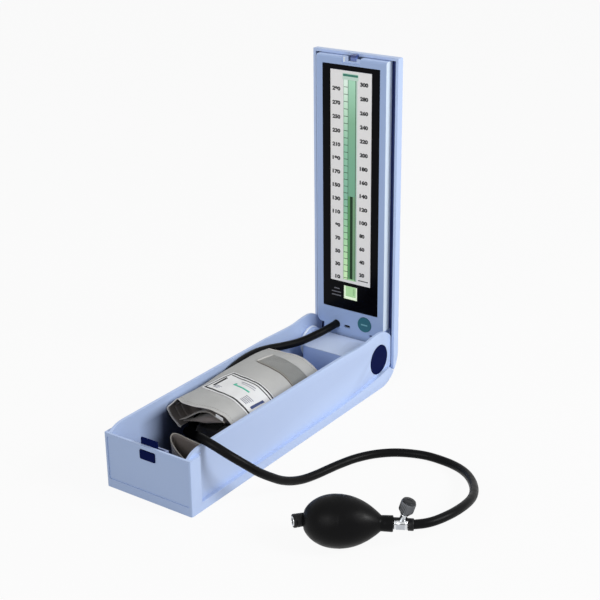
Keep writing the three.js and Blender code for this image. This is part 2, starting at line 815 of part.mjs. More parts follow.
function makeLidFront() {
  const faceBack = bodyFace + bodyFaceThickness;
  const topRound = 3;
  const block = cut(
    alongY(frontOutline(), bodyFace, bodyBack, 3),
    box(-armInner + 0.2, armInner - 0.2, faceBack, bodyBack + 1, bodyLowEdge + bodyWall, 30),
    box(
      -bodyHalf + bodyWall, bodyHalf - bodyWall, faceBack, bodyBack + 1,
      bodyStepHeight + bodyWall, bodyTop - bodyWall,
    ),
    box(-bodyHalf, bodyHalf, tailClear(), bodyBack + 1, 0, bodyStepHeight - 2),
  );
  const roundShape = new THREE.Shape();
  roundShape.moveTo(bodyFace - 1, bodyTop + 1);
  roundShape.lineTo(bodyFace - 1, bodyTop - topRound);
  roundShape.lineTo(bodyFace, bodyTop - topRound);
  roundShape.absarc(
    bodyFace + topRound, bodyTop - topRound, topRound, 180 * degrees, 90 * degrees, true);
  roundShape.lineTo(bodyFace + topRound, bodyTop + 1);
  const topEdge = alongX(roundShape, -bodyHalf - 1, bodyHalf + 1, 3);

  const arm = alongX(armOutline(), armInner, armOuter, 10);
  const screwPosts = lidScrewSpots().map(([x, z]) =>
    rodY(screwPostRadius, faceBack - 0.5, bodyBack, x, z, 14));
  const postHoles = lidScrewSpots().map(([x, z]) =>
    rodY(screwRadius + seatGap, faceBack + 1, bodyBack + 1, x, z, 10));
  const boardPosts = boardPostSpots().map(([x, z, y]) =>
    rodY(boardPostRadius, faceBack - 0.5, y - seatGap, x, z, 10));
  const pinHole = rodX(hingePinRadius + seatGap, armInner - 1, armOuter + 1, 0, 0, 24);

  const pocket = box(
    -panelWidth / 2 - seatGap, panelWidth / 2 + seatGap, bodyFace - 1, bodyFace + pocketDepth,
    panelLow - seatGap, panelLow + panelHeight + seatGap,
  );
  const glass = glassBox();
  const glassWindow = box(
    glass.left - seatGap, glass.right + seatGap, bodyFace, faceBack + 1,
    glass.low - seatGap, glass.high + seatGap,
  );
  const recess = box(
    latchX - recessWidth / 2 - 1, latchX - 1 + recessWidth / 2, bodyFace - 1, bodyBack + 1,
    bodyTop - recessHeight, bodyTop + 1,
  );
  const holes = [
    rodY(buttonRadius + seatGap, bodyFace - 1, faceBack + 1, buttonX, buttonZ, 28),
    rodY(hoseRadius + 0.5, bodyFace - 1, faceBack + 1, inletX, inletZ, 20),
    alongY(
      roundedRectangle(
        socketX - socketWidth / 2, socketX + socketWidth / 2,
        socketZ - socketHeight / 2, socketZ + socketHeight / 2, socketHeight * 0.4,
      ), bodyFace - 1, faceBack + 1),
    alongY(
      roundedRectangle(
        ledX - ledWidth / 2, ledX + ledWidth / 2, ledZ - ledHeight / 2, ledZ + ledHeight / 2,
        ledHeight * 0.35,
      ), bodyFace - 1, faceBack + 1),
  ];
  return cut(
    join(block, arm, mirrored(arm), ...screwPosts, ...boardPosts),
    topEdge, pinHole, mirrored(pinHole), pocket, glassWindow, recess, ...holes, ...postHoles,
  );
}

function tailClear() {
  return bodyBack - tailThickness - 1.4;
}

function boardPostSpots() {
  const left = boardLeft + 3;
  const right = boardLeft + boardWidth - 3;
  const keyY = keyBoardY();
  return [
    [left, boardLow + 4, boardY], [right, boardLow + 30, boardY],
    [left, boardLow + boardLength - 4, boardY], [right, boardLow + boardLength - 4, boardY],
    [buttonX - keyBoardWidth / 2 + 1.5, buttonZ + keyBoardHeight / 2 - 1, keyY],
    [buttonX + keyBoardWidth / 2 - 1.5, buttonZ + keyBoardHeight / 2 - 1, keyY],
  ];
}

function keyBoardY() {
  return buttonStemEnd() + buttonTravel + seatGap + switchDepth + seatGap;
}

function buttonStemEnd() {
  return bodyFace + bodyFaceThickness + 3.4;
}

// Lid: tail panel, a curved sheet that swings inside the base's rounded back
function makeLidTail() {
  const outer = shellInner - seatGap;
  const inner = outer - tailThickness;
  const shape = new THREE.Shape();
  shape.moveTo(...polar(outer, tailEndAngle));
  shape.absarc(0, 0, outer, tailEndAngle * degrees, tailStartAngle * degrees, false);
  shape.lineTo(...polar(inner, tailStartAngle));
  shape.absarc(0, 0, inner, tailStartAngle * degrees, tailEndAngle * degrees, true);
  return alongX(shape, -trayHalf + 0.5, trayHalf - 0.5, 12);
}

// Display, front to back: black panel with the white scale let into it, LCD, light guide
function glassBox() {
  return {
    left: Math.min(columnLeft, -readoutWidth / 2) - glassBorder,
    right: Math.max(columnRight, readoutWidth / 2) + glassBorder,
    low: readoutLow - glassBorder,
    high: columnHigh + glassBorder,
  };
}

function addDisplay() {
  const panelBack = bodyFace + pocketDepth - seatGap;
  const panelFront = panelBack - panelThickness;
  const panel = cut(
    alongY(
      roundedRectangle(
        -panelWidth / 2, panelWidth / 2, panelLow, panelLow + panelHeight, 1.2),
      panelFront, panelBack),
    box(
      -plateWidth / 2 - seatGap, plateWidth / 2 + seatGap, panelFront - 1, panelBack + 1,
      plateLow - seatGap, plateLow + plateHeight + seatGap),
    box(
      -readoutWidth / 2, readoutWidth / 2, panelFront - 1, panelBack + 1,
      readoutLow, readoutLow + readoutHeight),
  );
  add(lid, "display_panel", panel, black);
  const plate = cut(
    box(-plateWidth / 2, plateWidth / 2, panelFront, panelBack, plateLow, plateLow + plateHeight),
    box(columnLeft, columnRight, panelFront - 1, panelBack + 1, columnLow, columnHigh),
  );
  add(lid, "scale_plate", plate, plateWhite);
  const g = glassBox();
  const glassFront = panelBack + seatGap;
  const glassBack = glassFront + glassThickness;
  add(lid, "lcd_glass", box(g.left, g.right, glassFront, glassBack, g.low, g.high), screenGreen);
  const lightBack = glassBack + seatGap + backlightThickness;
  const light = box(g.left, g.right, glassBack + seatGap, lightBack, g.low, g.high);
  add(lid, "backlight", light, lightGuide);
}

function addElectronics() {
  const board = box(
    boardLeft, boardLeft + boardWidth, boardY, boardY + boardThickness,
    boardLow, boardLow + boardLength,
  );
  add(lid, "main_board", board, boardGreen);
  const sensorY = boardY + boardThickness + seatGap;
  const portY = sensorY + sensorDepth / 2;
  const sensor = join(
    box(
      sensorX - sensorSize / 2, sensorX + sensorSize / 2, sensorY, sensorY + sensorDepth,
      sensorLow, sensorLow + sensorSize),
    rodZ(1.2, sensorLow - 1, sensorLow + 1, sensorX, portY, 10),
  );
  add(lid, "pressure_sensor", sensor, darkPlastic);

  const faceBack = bodyFace + bodyFaceThickness;
  const flangeFront = faceBack + seatGap;
  const flangeBack = flangeFront + nippleFlangeThickness;
  const elbowTop = inletZ + nippleFlangeRadius + 0.3;
  const nipple = join(
    rodY(hoseRadius + 0.2, bodyFace + 1.3, flangeFront + 0.5, inletX, inletZ, 16),
    rodY(nippleFlangeRadius, flangeFront, flangeBack, inletX, inletZ, 20),
    rodY(nippleRadius, flangeBack - 0.5, flangeBack + 5, inletX, inletZ, 12),
    rodZ(nippleRadius, inletZ, elbowTop, inletX, flangeBack + nippleRadius + 0.6, 12),
  );
  add(lid, "inlet_nipple", nipple, darkPlastic);
  const tubeY = flangeBack + nippleRadius + 0.6;
  const tubeEnd = sensorLow - 1 - seatGap;
  const run = [
    [inletX, tubeY, elbowTop + seatGap], [inletX, tubeY, elbowTop + 6],
    [(inletX + sensorX) / 2, (tubeY + portY) / 2, (elbowTop + tubeEnd) / 2 - 2],
    [sensorX, portY, tubeEnd - 8], [sensorX, portY, tubeEnd],
  ];
  add(lid, "sensor_tube", tube(run, sensorTubeRadius, 8, 14), rubber);

  const button = join(
    rodY(buttonRadius, bodyFace - buttonProud, faceBack + 0.5, buttonX, buttonZ, 32),
    rodY(buttonRadius + buttonFlange, faceBack + seatGap, faceBack + 1.3, buttonX, buttonZ, 28),
    rodY(buttonStemRadius, faceBack + 1, buttonStemEnd(), buttonX, buttonZ, 12),
  );
  add(lid, "power_button", button, teal);
  const switchFront = buttonStemEnd() + buttonTravel + seatGap;
  const halfSwitch = switchSize / 2;
  const tact = box(
    buttonX - halfSwitch, buttonX + halfSwitch, switchFront, switchFront + switchDepth,
    buttonZ - halfSwitch, buttonZ + halfSwitch,
  );
  add(lid, "tact_switch", tact, darkPlastic);
  const keyBoard = box(
    buttonX - keyBoardWidth / 2, buttonX + keyBoardWidth / 2,
    keyBoardY(), keyBoardY() + boardThickness,
    buttonZ - keyBoardHeight / 2, buttonZ + keyBoardHeight / 2 + 1,
  );
  add(lid, "button_board", keyBoard, boardGreen);

  const socketInset = 0.25;
  const socket = join(
    alongY(
      roundedRectangle(
        socketX - socketWidth / 2 + socketInset, socketX + socketWidth / 2 - socketInset,
        socketZ - socketHeight / 2 + socketInset, socketZ + socketHeight / 2 - socketInset, 0.9),
      faceBack - 1, faceBack + 1),
    box(
      socketX - socketWidth / 2 - 0.8, socketX + socketWidth / 2 + 0.8,
      faceBack + seatGap, faceBack + 6, socketZ - 2.6, socketZ + 2.6),
  );
  add(lid, "power_socket", socket, darkPlastic);
}

// Battery compartment: tray, two cells, their contacts and the door in the lid's back
function addBatteries() {
  const door = doorBox();
  const innerLeft = door.left + boxWall * 0.5;
  const innerRight = door.right - boxWall * 0.5;
  const innerLow = cellLow - contactConeHeight - contactThickness - 2 * seatGap;
  const innerHigh = cellLow + cellLength + cellNubHeight + contactThickness + 2 * seatGap;
  const cellY = bodyBack - cellRadius - seatGap;
  const trayFloor = cellY - cellRadius - seatGap;
  const holder = cut(
    box(
      innerLeft - boxWall, innerRight + boxWall, trayFloor - boxWall * 0.7, bodyBack,
      innerLow - boxWall, innerHigh + boxWall),
    box(innerLeft, innerRight, trayFloor, bodyBack + 1, innerLow, innerHigh),
  );
  add(lid, "battery_holder", holder, darkPlastic);
  const nub = cellLength + cellNubHeight;
  const profile = [
    [0, 0], [cellRadius, 0], [cellRadius, cellLength], [cellNubRadius, cellLength],
    [cellNubRadius, nub], [0, nub],
  ].map(([u, v]) => new THREE.Vector2(u, v));
  const upright = new THREE.Matrix4().makeRotationX(90 * degrees);
  const cell = placed(new THREE.LatheGeometry(profile, 18), upright);
  [-1, 1].forEach((side, i) => {
    const mesh = add(lid, `battery_cell_${i + 1}`, cell, cellGold);
    mesh.position.set(cellMiddleX + (side * cellPitch) / 2, cellY, cellLow);
  });
  const contactHalf = cellPitch / 2 + cellRadius - 1;
  const contact = (z) => box(
    cellMiddleX - contactHalf, cellMiddleX + contactHalf,
    cellY - cellRadius + 1, cellY + cellRadius - 1, z, z + contactThickness);
  const coneProfile = [
    [0, 0], [3.4, 0], [1.5, contactConeHeight], [0, contactConeHeight],
  ].map(([u, v]) => new THREE.Vector2(u, v));
  const lowPlate = innerLow + seatGap;
  const cones = [-1, 1].map((side) => placed(
    new THREE.LatheGeometry(coneProfile, 14),
    new THREE.Matrix4().makeTranslation(
      cellMiddleX + (side * cellPitch) / 2, cellY, lowPlate + contactThickness * 0.6,
    ).multiply(upright)));
  add(lid, "battery_contact_low", join(contact(lowPlate), ...cones), steel);
  add(lid, "battery_contact_high", contact(innerHigh - seatGap - contactThickness), steel);

  const plate = box(
    door.left + seatGap, door.right - seatGap, hingeHeight - doorThickness, hingeHeight,
    door.low + seatGap, door.high - seatGap,
  );
  const grip = rodX(
    doorGripRadius, cellMiddleX - 6, cellMiddleX + 6,
    hingeHeight + doorGripRadius - 0.8, door.high - 6, 20);
  add(lid, "battery_door", cut(plate, grip), caseBlue);
}

function addLidScrews() {
  const upright = screwSolid();
  lidScrewSpots().forEach(([x, z], i) => {
    const screw = add(lid, `lid_screw_${i + 1}`, upright, steel);
    screw.rotation.x = 90 * degrees;
    screw.position.set(x, hingeHeight - screwHeadHeight + seatGap + 0.05, z);
  });
}

// Cuff: cross-section of a soft bundle, a rounded box with a crown
function softRing(y, left, right, low, high, crown, power, droop = 0) {
  const count = 28;
  const middle = (left + right) / 2;
  const halfWidth = (right - left) / 2;
  const halfHeight = (high - low) / 2;
  return Array.from({ length: count }, (_, i) => {
    const [c, s] = polar(1, (360 * i) / count);
    const u = Math.sign(c) * Math.abs(c) ** (2 / power);
    const v = Math.sign(s) * Math.abs(s) ** (2 / power);
    const fall = droop * (Math.max(u - 0.1, 0) / 0.9) ** 2;
    const lift = s > 0 ? crown * (1 - u * u) - fall * v : 0;
    return [middle + halfWidth * u, y, (low + high) / 2 + halfHeight * v + lift];
  });
}

// Height of the wrap's shoulders above the hinge axis along the tray
function wrapShoulder(y) {
  const { smoothstep } = THREE.MathUtils;
  const fromEnd = wrapFar - y;
  return wrapEndHeight + wrapEndRise * smoothstep(fromEnd, -24, 8)
    + wrapLongRise * smoothstep(fromEnd, 0, 55);
}

function wrapLoft() {
  const count = 12;
  const rings = Array.from({ length: count + 1 }, (_, i) => {
    const t = i / count;
    const y = wrapFar + (wrapNear - wrapFar) * t;
    const taper = 1 - THREE.MathUtils.smoothstep(t, 0, 0.12);
    return softRing(
      y, wrapLeft + 3 * taper, wrapRight - 2 * taper,
      table + wrapLow, wrapShoulder(y), wrapCrown, 3.4, wrapDroop,
    );
  });
  return loft(rings.reverse());
}

// A block turned by the cuff's skew about a point on its axis
function skewedBox(x, y, x0, x1, y0, y1, z0, z1) {
  return box(x0, x1, y0, y1, z0, z1).rotate([0, 0, -cuffSkew]).translate([x, y, 0]);
}

function addCuff() {
  const far = 400;
  const nearCut = skewedBox(wrapMouthX, wrapMouthY, -far, far, -far, 0, -far, far);
  const channel = box(-far, channelX, wrapNotchY, far, -far, far);
  const mouthShape = new THREE.Shape();
  const mouthLow = table + wrapLow + 2.5;
  const mouthTop = wrapEndHeight + wrapEndRise + wrapLongRise - 0.5;
  const mouthLeft = wrapLeft + 4;
  const mouthRight = wrapRight - 9;
  // A point by its shares of the mouth's width and height
  const inMouth = (u, v) => [
    mouthLeft + (mouthRight - mouthLeft) * u, mouthLow + (mouthTop - mouthLow) * v];
  mouthShape.moveTo(...inMouth(0, 0.145));
  mouthShape.quadraticCurveTo(...inMouth(0, 0), ...inMouth(0.056, 0));
  mouthShape.lineTo(...inMouth(0.832, 0));
  mouthShape.quadraticCurveTo(...inMouth(1, 0), ...inMouth(1, 0.29));
  mouthShape.quadraticCurveTo(...inMouth(1, 0.618), ...inMouth(0.86, 0.8));
  mouthShape.quadraticCurveTo(...inMouth(0.72, 1), ...inMouth(0.524, 1));
  mouthShape.lineTo(...inMouth(0.182, 0.964));
  mouthShape.quadraticCurveTo(...inMouth(0, 0.945), ...inMouth(0, 0.564));
  const mouth = alongY(mouthShape, -60, mouthDepth, 6)
    .rotate([0, 0, -cuffSkew]).translate([wrapMouthX, wrapMouthY, 0]);
  const wrap = cut(wrapLoft(), nearCut, channel, mouth);
  add(base, "cuff_wrap", wrap, cuffGrey);

  // Folded inner layers, seen in the mouth
  const seated = (shape, near) => alongY(shape, near, mouthDepth - seatGap, 5)
    .rotate([0, 0, -cuffSkew]).translate([wrapMouthX, wrapMouthY, 0]);
  const upper = new THREE.Shape();
  upper.moveTo(...inMouth(0.189, 0.36));
  upper.quadraticCurveTo(...inMouth(0.566, 0.4), ...inMouth(0.79, 0.789));
  upper.quadraticCurveTo(...inMouth(0.797, 0.833), ...inMouth(0.769, 0.862));
  upper.quadraticCurveTo(...inMouth(0.566, 1.073), ...inMouth(0.385, 0.836));
  upper.lineTo(...inMouth(0.189, 0.491));
  const lower = new THREE.Shape();
  const lowerSeat = mouthLow + seatGap;
  lower.moveTo(inMouth(0.385, 0)[0], lowerSeat);
  lower.lineTo(inMouth(0.818, 0)[0], lowerSeat);
  lower.quadraticCurveTo(...inMouth(0.944, 0.164), ...inMouth(0.916, 0.31));
  lower.quadraticCurveTo(...inMouth(0.636, 0.2), inMouth(0.385, 0)[0], mouthLow + foldThickness);
  add(base, "cuff_inner_fold_upper", seated(upper, 2), cuffDark);
  add(base, "cuff_inner_fold_lower", seated(lower, 5), cuffDark);

  const bundle = loft([
    [bundleNear, 3], [bundleNear + 6, 0], [bundleFar - 8, 0], [bundleFar, 3],
  ].map(([y, inset]) => softRing(
    y, -trayHalf + softGap + inset, trayHalf - softGap - inset,
    floorTop + seatGap + inset, table + bundleTop - inset * 0.3, 0, 7)));
  const besideBundle = box(-far, channelX, bundleNotchY, far, -far, far);
  add(base, "cuff_bladder_bundle", cut(bundle, besideBundle), cuffGrey);

  const right = trayHalf - tailSideGap;
  const near = frontEnd + tailNearGap;
  const tailFar = near + tailDepth;
  const besideLatch = latchX + latchPlateWidth / 2 + latchGuideWall + 2;
  const plan = new THREE.Shape();
  plan.moveTo(tailLeft + 3, near + 16);
  plan.lineTo(tailLeft, tailFar - 8);
  plan.quadraticCurveTo(tailLeft - 1, tailFar, tailLeft + 7, tailFar);
  plan.lineTo(right - 7, tailFar - 2);
  plan.quadraticCurveTo(right, tailFar - 3, right, tailFar - 11);
  plan.lineTo(right, near + 6);
  plan.quadraticCurveTo(right, near, right - 6, near);
  plan.lineTo(besideLatch + 1, near);
  plan.lineTo(besideLatch, near + 15);
  const flap = alongZ(plan, floorTop + seatGap, tailTop, 6);
  add(base, "cuff_tail_fold", flap, cuffDark);
}

// Hoses. Points are in the case's frame with y from the hinge axis and z from the table.
const lidHosePoints = [
  [inletX, bodyFace + 1, hingeHeight + inletZ],
  [inletX, bodyFace - 7, hingeHeight + inletZ],
  [-19.6, -3, 53],
  [-23.2, -20, 51.4],
  [-27.2, -42, 51.2],
  [-32.5, -64, 53.2],
  [-37.4, -84, 56.2],
  [-39.9, -104, 58.4],
  [-40.3, -130, 57.5],
  [-40.4, -150, 52.8],
  [-40.3, -166, 47.6],
  [-40.2, -181, 43.4],
  [-40.1, -196.4, 41.6],
];

const bulbHosePoints = [
  [-27.6, -210, 34],
  [-26.6, -216.8, 34],
  [-22.6, -228.7, 34],
  [-14.5, -242, 36],
  [-6, -255, 41.5],
  [2.5, -267, 48.7],
  [11.3, -278, 56.2],
  [21, -287.5, 62.4],
  [31, -294, 66.2],
  [38.2, -296.9, 67.8],
  [46, -298.4, 68.1],
  [53.8, -298.6, 66.6],
  [61.2, -297.5, 63.9],
  [74.1, -292.4, 56],
  [83.5, -284, 46.5],
  [90, -273.5, 36],
  [94.3, -261, 26.3],
  [97, -248, 17.5],
  [99.1, -233.5, 10.5],
  [101.5, -218, 6],
  [104.7, -202.5, 4.4],
  [108.5, -186.5, 4.3],
  [112.6, -171, 4.3],
  [118.8, -154, 4.3],
  [129.8, -136.4, 4.3],
  [146.4, -121.6, 4.3],
  [171.5, -111.7, 4.3],
  [195.6, -111.6, 4.4],
  [211, -116.4, 5.5],
  [224.4, -125, 7.3],
  [235.5, -136.2, 9.5],
  [245, -149, 12],
  [252.7, -162.7, 15],
  [258.5, -177.5, 18],
  [261.8, -193, 21],
  [262.5, -209, 23.1],
  [260.5, -225, 24.3],
  [255.8, -238.6, 24.3],
  [251, -246.5, 24.1],
  [245.9, -251.6, 23.9],
];

function toBase([x, y, z]) {
  return [x, y, z + table];
}

// Bulb, its two valves and the release knob, laid out along +X from the bulb's tail
const bulbGroup = new THREE.Group();
bulbGroup.position.set(bulbTailX, bulbTailY, table + bulbRadius);
bulbGroup.rotation.z = bulbHeading * degrees;
base.add(bulbGroup);

function bulbOuter(u) {
  if (u < bulbWidestAt) {
    const reach = bulbWidestAt / Math.sqrt(1 - (tailMouthRadius / bulbRadius) ** 2);
    return bulbRadius * Math.sqrt(1 - ((bulbWidestAt - u) / reach) ** 2);
  }
  const t = Math.min((u - bulbWidestAt) / (bulbLength + 2 - bulbWidestAt), 1);
  return neckRadius + (bulbRadius - neckRadius) * (1 - t * t);
}

function makeBulb() {
  const bulbEnd = bulbLength + neckLength;
  const outer = [0, 1.5, 4, 8, 13, 20, 29, 38, 46, 53, 59, 64, 68, bulbEnd];
  const inner = [62, 54, 44, 29, 16, 8];
  const profile = [
    ...outer.map((u) => [u, bulbOuter(u)]),
    [bulbEnd, bulbBore],
    ...inner.map((u) => [u, Math.max(bulbOuter(u) - bulbWall, bulbBore)]),
    [5, bulbBore],
    [0, bulbBore],
  ].map(([u, r]) => new THREE.Vector2(r, -u));
  profile.push(profile[0].clone());
  const lathe = new THREE.LatheGeometry(profile.reverse(), 28);
  return placed(lathe, new THREE.Matrix4().makeRotationZ(90 * degrees));
}

function rodU(radius, u0, u1, segments = 20) {
  return rodX(radius, u0, u1, 0, 0, segments);
}

function addBulb() {
  const bulbEnd = bulbLength + neckLength;
  const stemLength = 7;
  add(bulbGroup, "bulb", makeBulb(), rubber);
  const plug = cut(
    join(
      rodU(inletPlugRadius - 0.7, -2.2, -seatGap),
      rodU(inletPlugRadius, -inletPlugLength, -2),
      rodU(bulbBore - seatGap, -1, stemLength, 16)),
    rodU(1.6, -inletPlugLength - 1, -inletPlugLength + 3, 10),
  );
  add(bulbGroup, "bulb_inlet_valve", plug, darkPlastic);

  const start = bulbEnd + seatGap;
  const end = start + valveLength;
  const middle = (start + end) / 2;
  const tilted = (shape) => shape.rotate([0, valveTilt, 0]).translate([middle, 0, 0]);
  const valve = cut(
    join(
      rodU(valveRadius, start, end, 28),
      rodU(bulbBore - seatGap, bulbEnd - stemLength, start + 1, 16),
      tilted(rodZ(valveBossRadius, 0, valveBossHeight, 0, 0, 18)),
      rodU(valveRadius + 0.5, start + 5.2, start + 6, 28)),
    tilted(rodZ(stemRadius + seatGap, 1.5, valveBossHeight + 1, 0, 0, 14)),
  );
  add(bulbGroup, "valve_body", valve, chrome);

  const head = new THREE.Shape();
  const teeth = 2 * knobKnurls;
  for (let i = 0; i < teeth; i += 1) {
    const r = knobRadius - (i % 2) * knobKnurlDepth;
    const [u, v] = polar(r, (360 * i) / teeth);
    if (i === 0) head.moveTo(u, v);
    else head.lineTo(u, v);
  }
  const headLow = valveBossHeight + seatGap;
  const grip = alongZ(head, headLow + knobTaper, headLow + knobLength - 1.2);
  const foot = placed(
    new THREE.CylinderGeometry(knobRadius - 0.5, knobFootRadius, knobTaper + 0.5, 24),
    new THREE.Matrix4().makeTranslation(0, 0, headLow + (knobTaper + 0.5) / 2)
      .multiply(new THREE.Matrix4().makeRotationX(90 * degrees)));
  const knob = join(
    rodZ(stemRadius, 2.2, headLow + 0.5, 0, 0, 14),
    foot,
    grip,
    rodZ(knobRadius - 0.7, headLow + knobLength - 1.4, headLow + knobLength, 0, 0, 20),
  );
  const knobGroup = new THREE.Group();
  knobGroup.position.set(middle, 0, 0);
  knobGroup.rotation.y = valveTilt * degrees;
  bulbGroup.add(knobGroup);
  add(knobGroup, "valve_knob", knob, chrome);

  // The hose leaves the valve straight, along the valve's axis
  const heading = polar(1, bulbHeading);
  const outlet = [0, 3].map((step) => {
    const u = end + step + seatGap;
    return [bulbTailX + u * heading[0], bulbTailY + u * heading[1], bulbRadius];
  });
  const points = [...bulbHosePoints, outlet[1], outlet[0]].map(toBase);
  add(base, "bulb_hose", tube(points, hoseRadius, 10, 44), rubber);
}

add(base, "base_case", makeBaseCase(), caseBlue);
add(base, "deck_cover", makeDeck(), innerBlue);
addDeckScrews();
addHinge();
addLatch();
addCuff();
addBulb();
add(base, "manometer_hose", tube(lidHosePoints.map(toBase), hoseRadius, 10, 18), rubber);
add(lid, "lid_shell", makeLidShell(), caseBlue);
add(lid, "lid_front", makeLidFront(), caseBlue);
add(lid, "lid_tail", makeLidTail(), innerBlue);
addDisplay();
addElectronics();
addBatteries();
addLidScrews();

export default device;
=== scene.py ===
import json
import math

import bmesh
import bpy
import numpy as np
from mathutils import Matrix, Vector

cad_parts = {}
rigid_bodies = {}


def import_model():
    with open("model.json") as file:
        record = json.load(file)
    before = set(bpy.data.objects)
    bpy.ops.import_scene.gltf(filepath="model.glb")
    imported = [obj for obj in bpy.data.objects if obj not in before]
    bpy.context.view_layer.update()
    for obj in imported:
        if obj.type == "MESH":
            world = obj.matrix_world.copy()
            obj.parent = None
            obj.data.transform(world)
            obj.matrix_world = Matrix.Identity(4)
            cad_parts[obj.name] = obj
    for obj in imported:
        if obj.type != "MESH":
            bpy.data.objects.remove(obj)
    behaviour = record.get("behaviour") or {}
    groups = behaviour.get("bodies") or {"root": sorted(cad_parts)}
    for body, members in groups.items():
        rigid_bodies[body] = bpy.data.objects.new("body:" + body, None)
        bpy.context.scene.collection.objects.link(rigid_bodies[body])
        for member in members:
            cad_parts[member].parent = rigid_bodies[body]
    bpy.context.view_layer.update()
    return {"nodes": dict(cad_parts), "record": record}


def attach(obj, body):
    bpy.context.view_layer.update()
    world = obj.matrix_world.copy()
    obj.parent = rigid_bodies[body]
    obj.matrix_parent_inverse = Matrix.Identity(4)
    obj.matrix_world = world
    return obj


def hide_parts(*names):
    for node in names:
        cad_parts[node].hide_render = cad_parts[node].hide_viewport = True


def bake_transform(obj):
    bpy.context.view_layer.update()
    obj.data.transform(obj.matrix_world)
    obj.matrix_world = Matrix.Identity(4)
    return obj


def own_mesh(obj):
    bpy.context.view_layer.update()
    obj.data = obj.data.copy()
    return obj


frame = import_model()
nodes = frame["nodes"]
scene = bpy.context.scene

MM = 0.001
HINGE_Y = 145.5
HINGE_Z = 33.0


def place(x, y, z):
    """A point in millimetres, y from the hinge axis and z from the table, in the row frame."""
    return Vector((x * MM, (y + HINGE_Y) * MM, z * MM))


def add_object(name, data):
    made = bpy.data.objects.new(name, data)
    scene.collection.objects.link(made)
    return made


# Camera

AZIMUTH = math.radians(35.488)
ELEVATION = math.radians(22.199)
ROLL = math.radians(-0.697)
LENS = 80.08
SENSOR_WIDTH = 36
CAMERA_SPOT = (0.7418, -0.9734, 0.6400)
CAMERA_REACH = (0.05, 20)


def add_camera():
    data = bpy.data.cameras.new("camera")
    data.lens = LENS
    data.sensor_width = SENSOR_WIDTH
    data.clip_start, data.clip_end = CAMERA_REACH
    camera = add_object("camera", data)
    flat = math.cos(ELEVATION)
    back = Vector((math.sin(AZIMUTH) * flat, -math.cos(AZIMUTH) * flat, math.sin(ELEVATION)))
    right = Vector((math.cos(AZIMUTH), math.sin(AZIMUTH), 0))
    up = back.cross(right)
    local_x = right * math.cos(ROLL) + up * math.sin(ROLL)
    local_y = up * math.cos(ROLL) - right * math.sin(ROLL)
    turn = Matrix((local_x, local_y, back)).transposed().to_4x4()
    camera.matrix_world = Matrix.Translation(CAMERA_SPOT) @ turn
    scene.camera = camera


add_camera()

# Materials


def linear(color):
    """Linear colour from 0 to 255 screen values."""
    parts = []
    for value in color:
        c = value / 255
        parts.append(c / 12.92 if c <= 0.04045 else ((c + 0.055) / 1.055) ** 2.4)
    return (*parts, 1.0)


# The colour sockets of a Mix node
MIX_UNDER = 6
MIX_OVER = 7
MIX_RESULT = 2


def add_node(tree, kind, inputs=None, **settings):
    """A new node. Each of its inputs is a plain value or another node's output."""
    made = tree.nodes.new(kind)
    for key, value in settings.items():
        setattr(made, key, value)
    for key, value in (inputs or {}).items():
        if isinstance(value, bpy.types.NodeSocket):
            tree.links.new(value, made.inputs[key])
        else:
            made.inputs[key].default_value = value
    return made


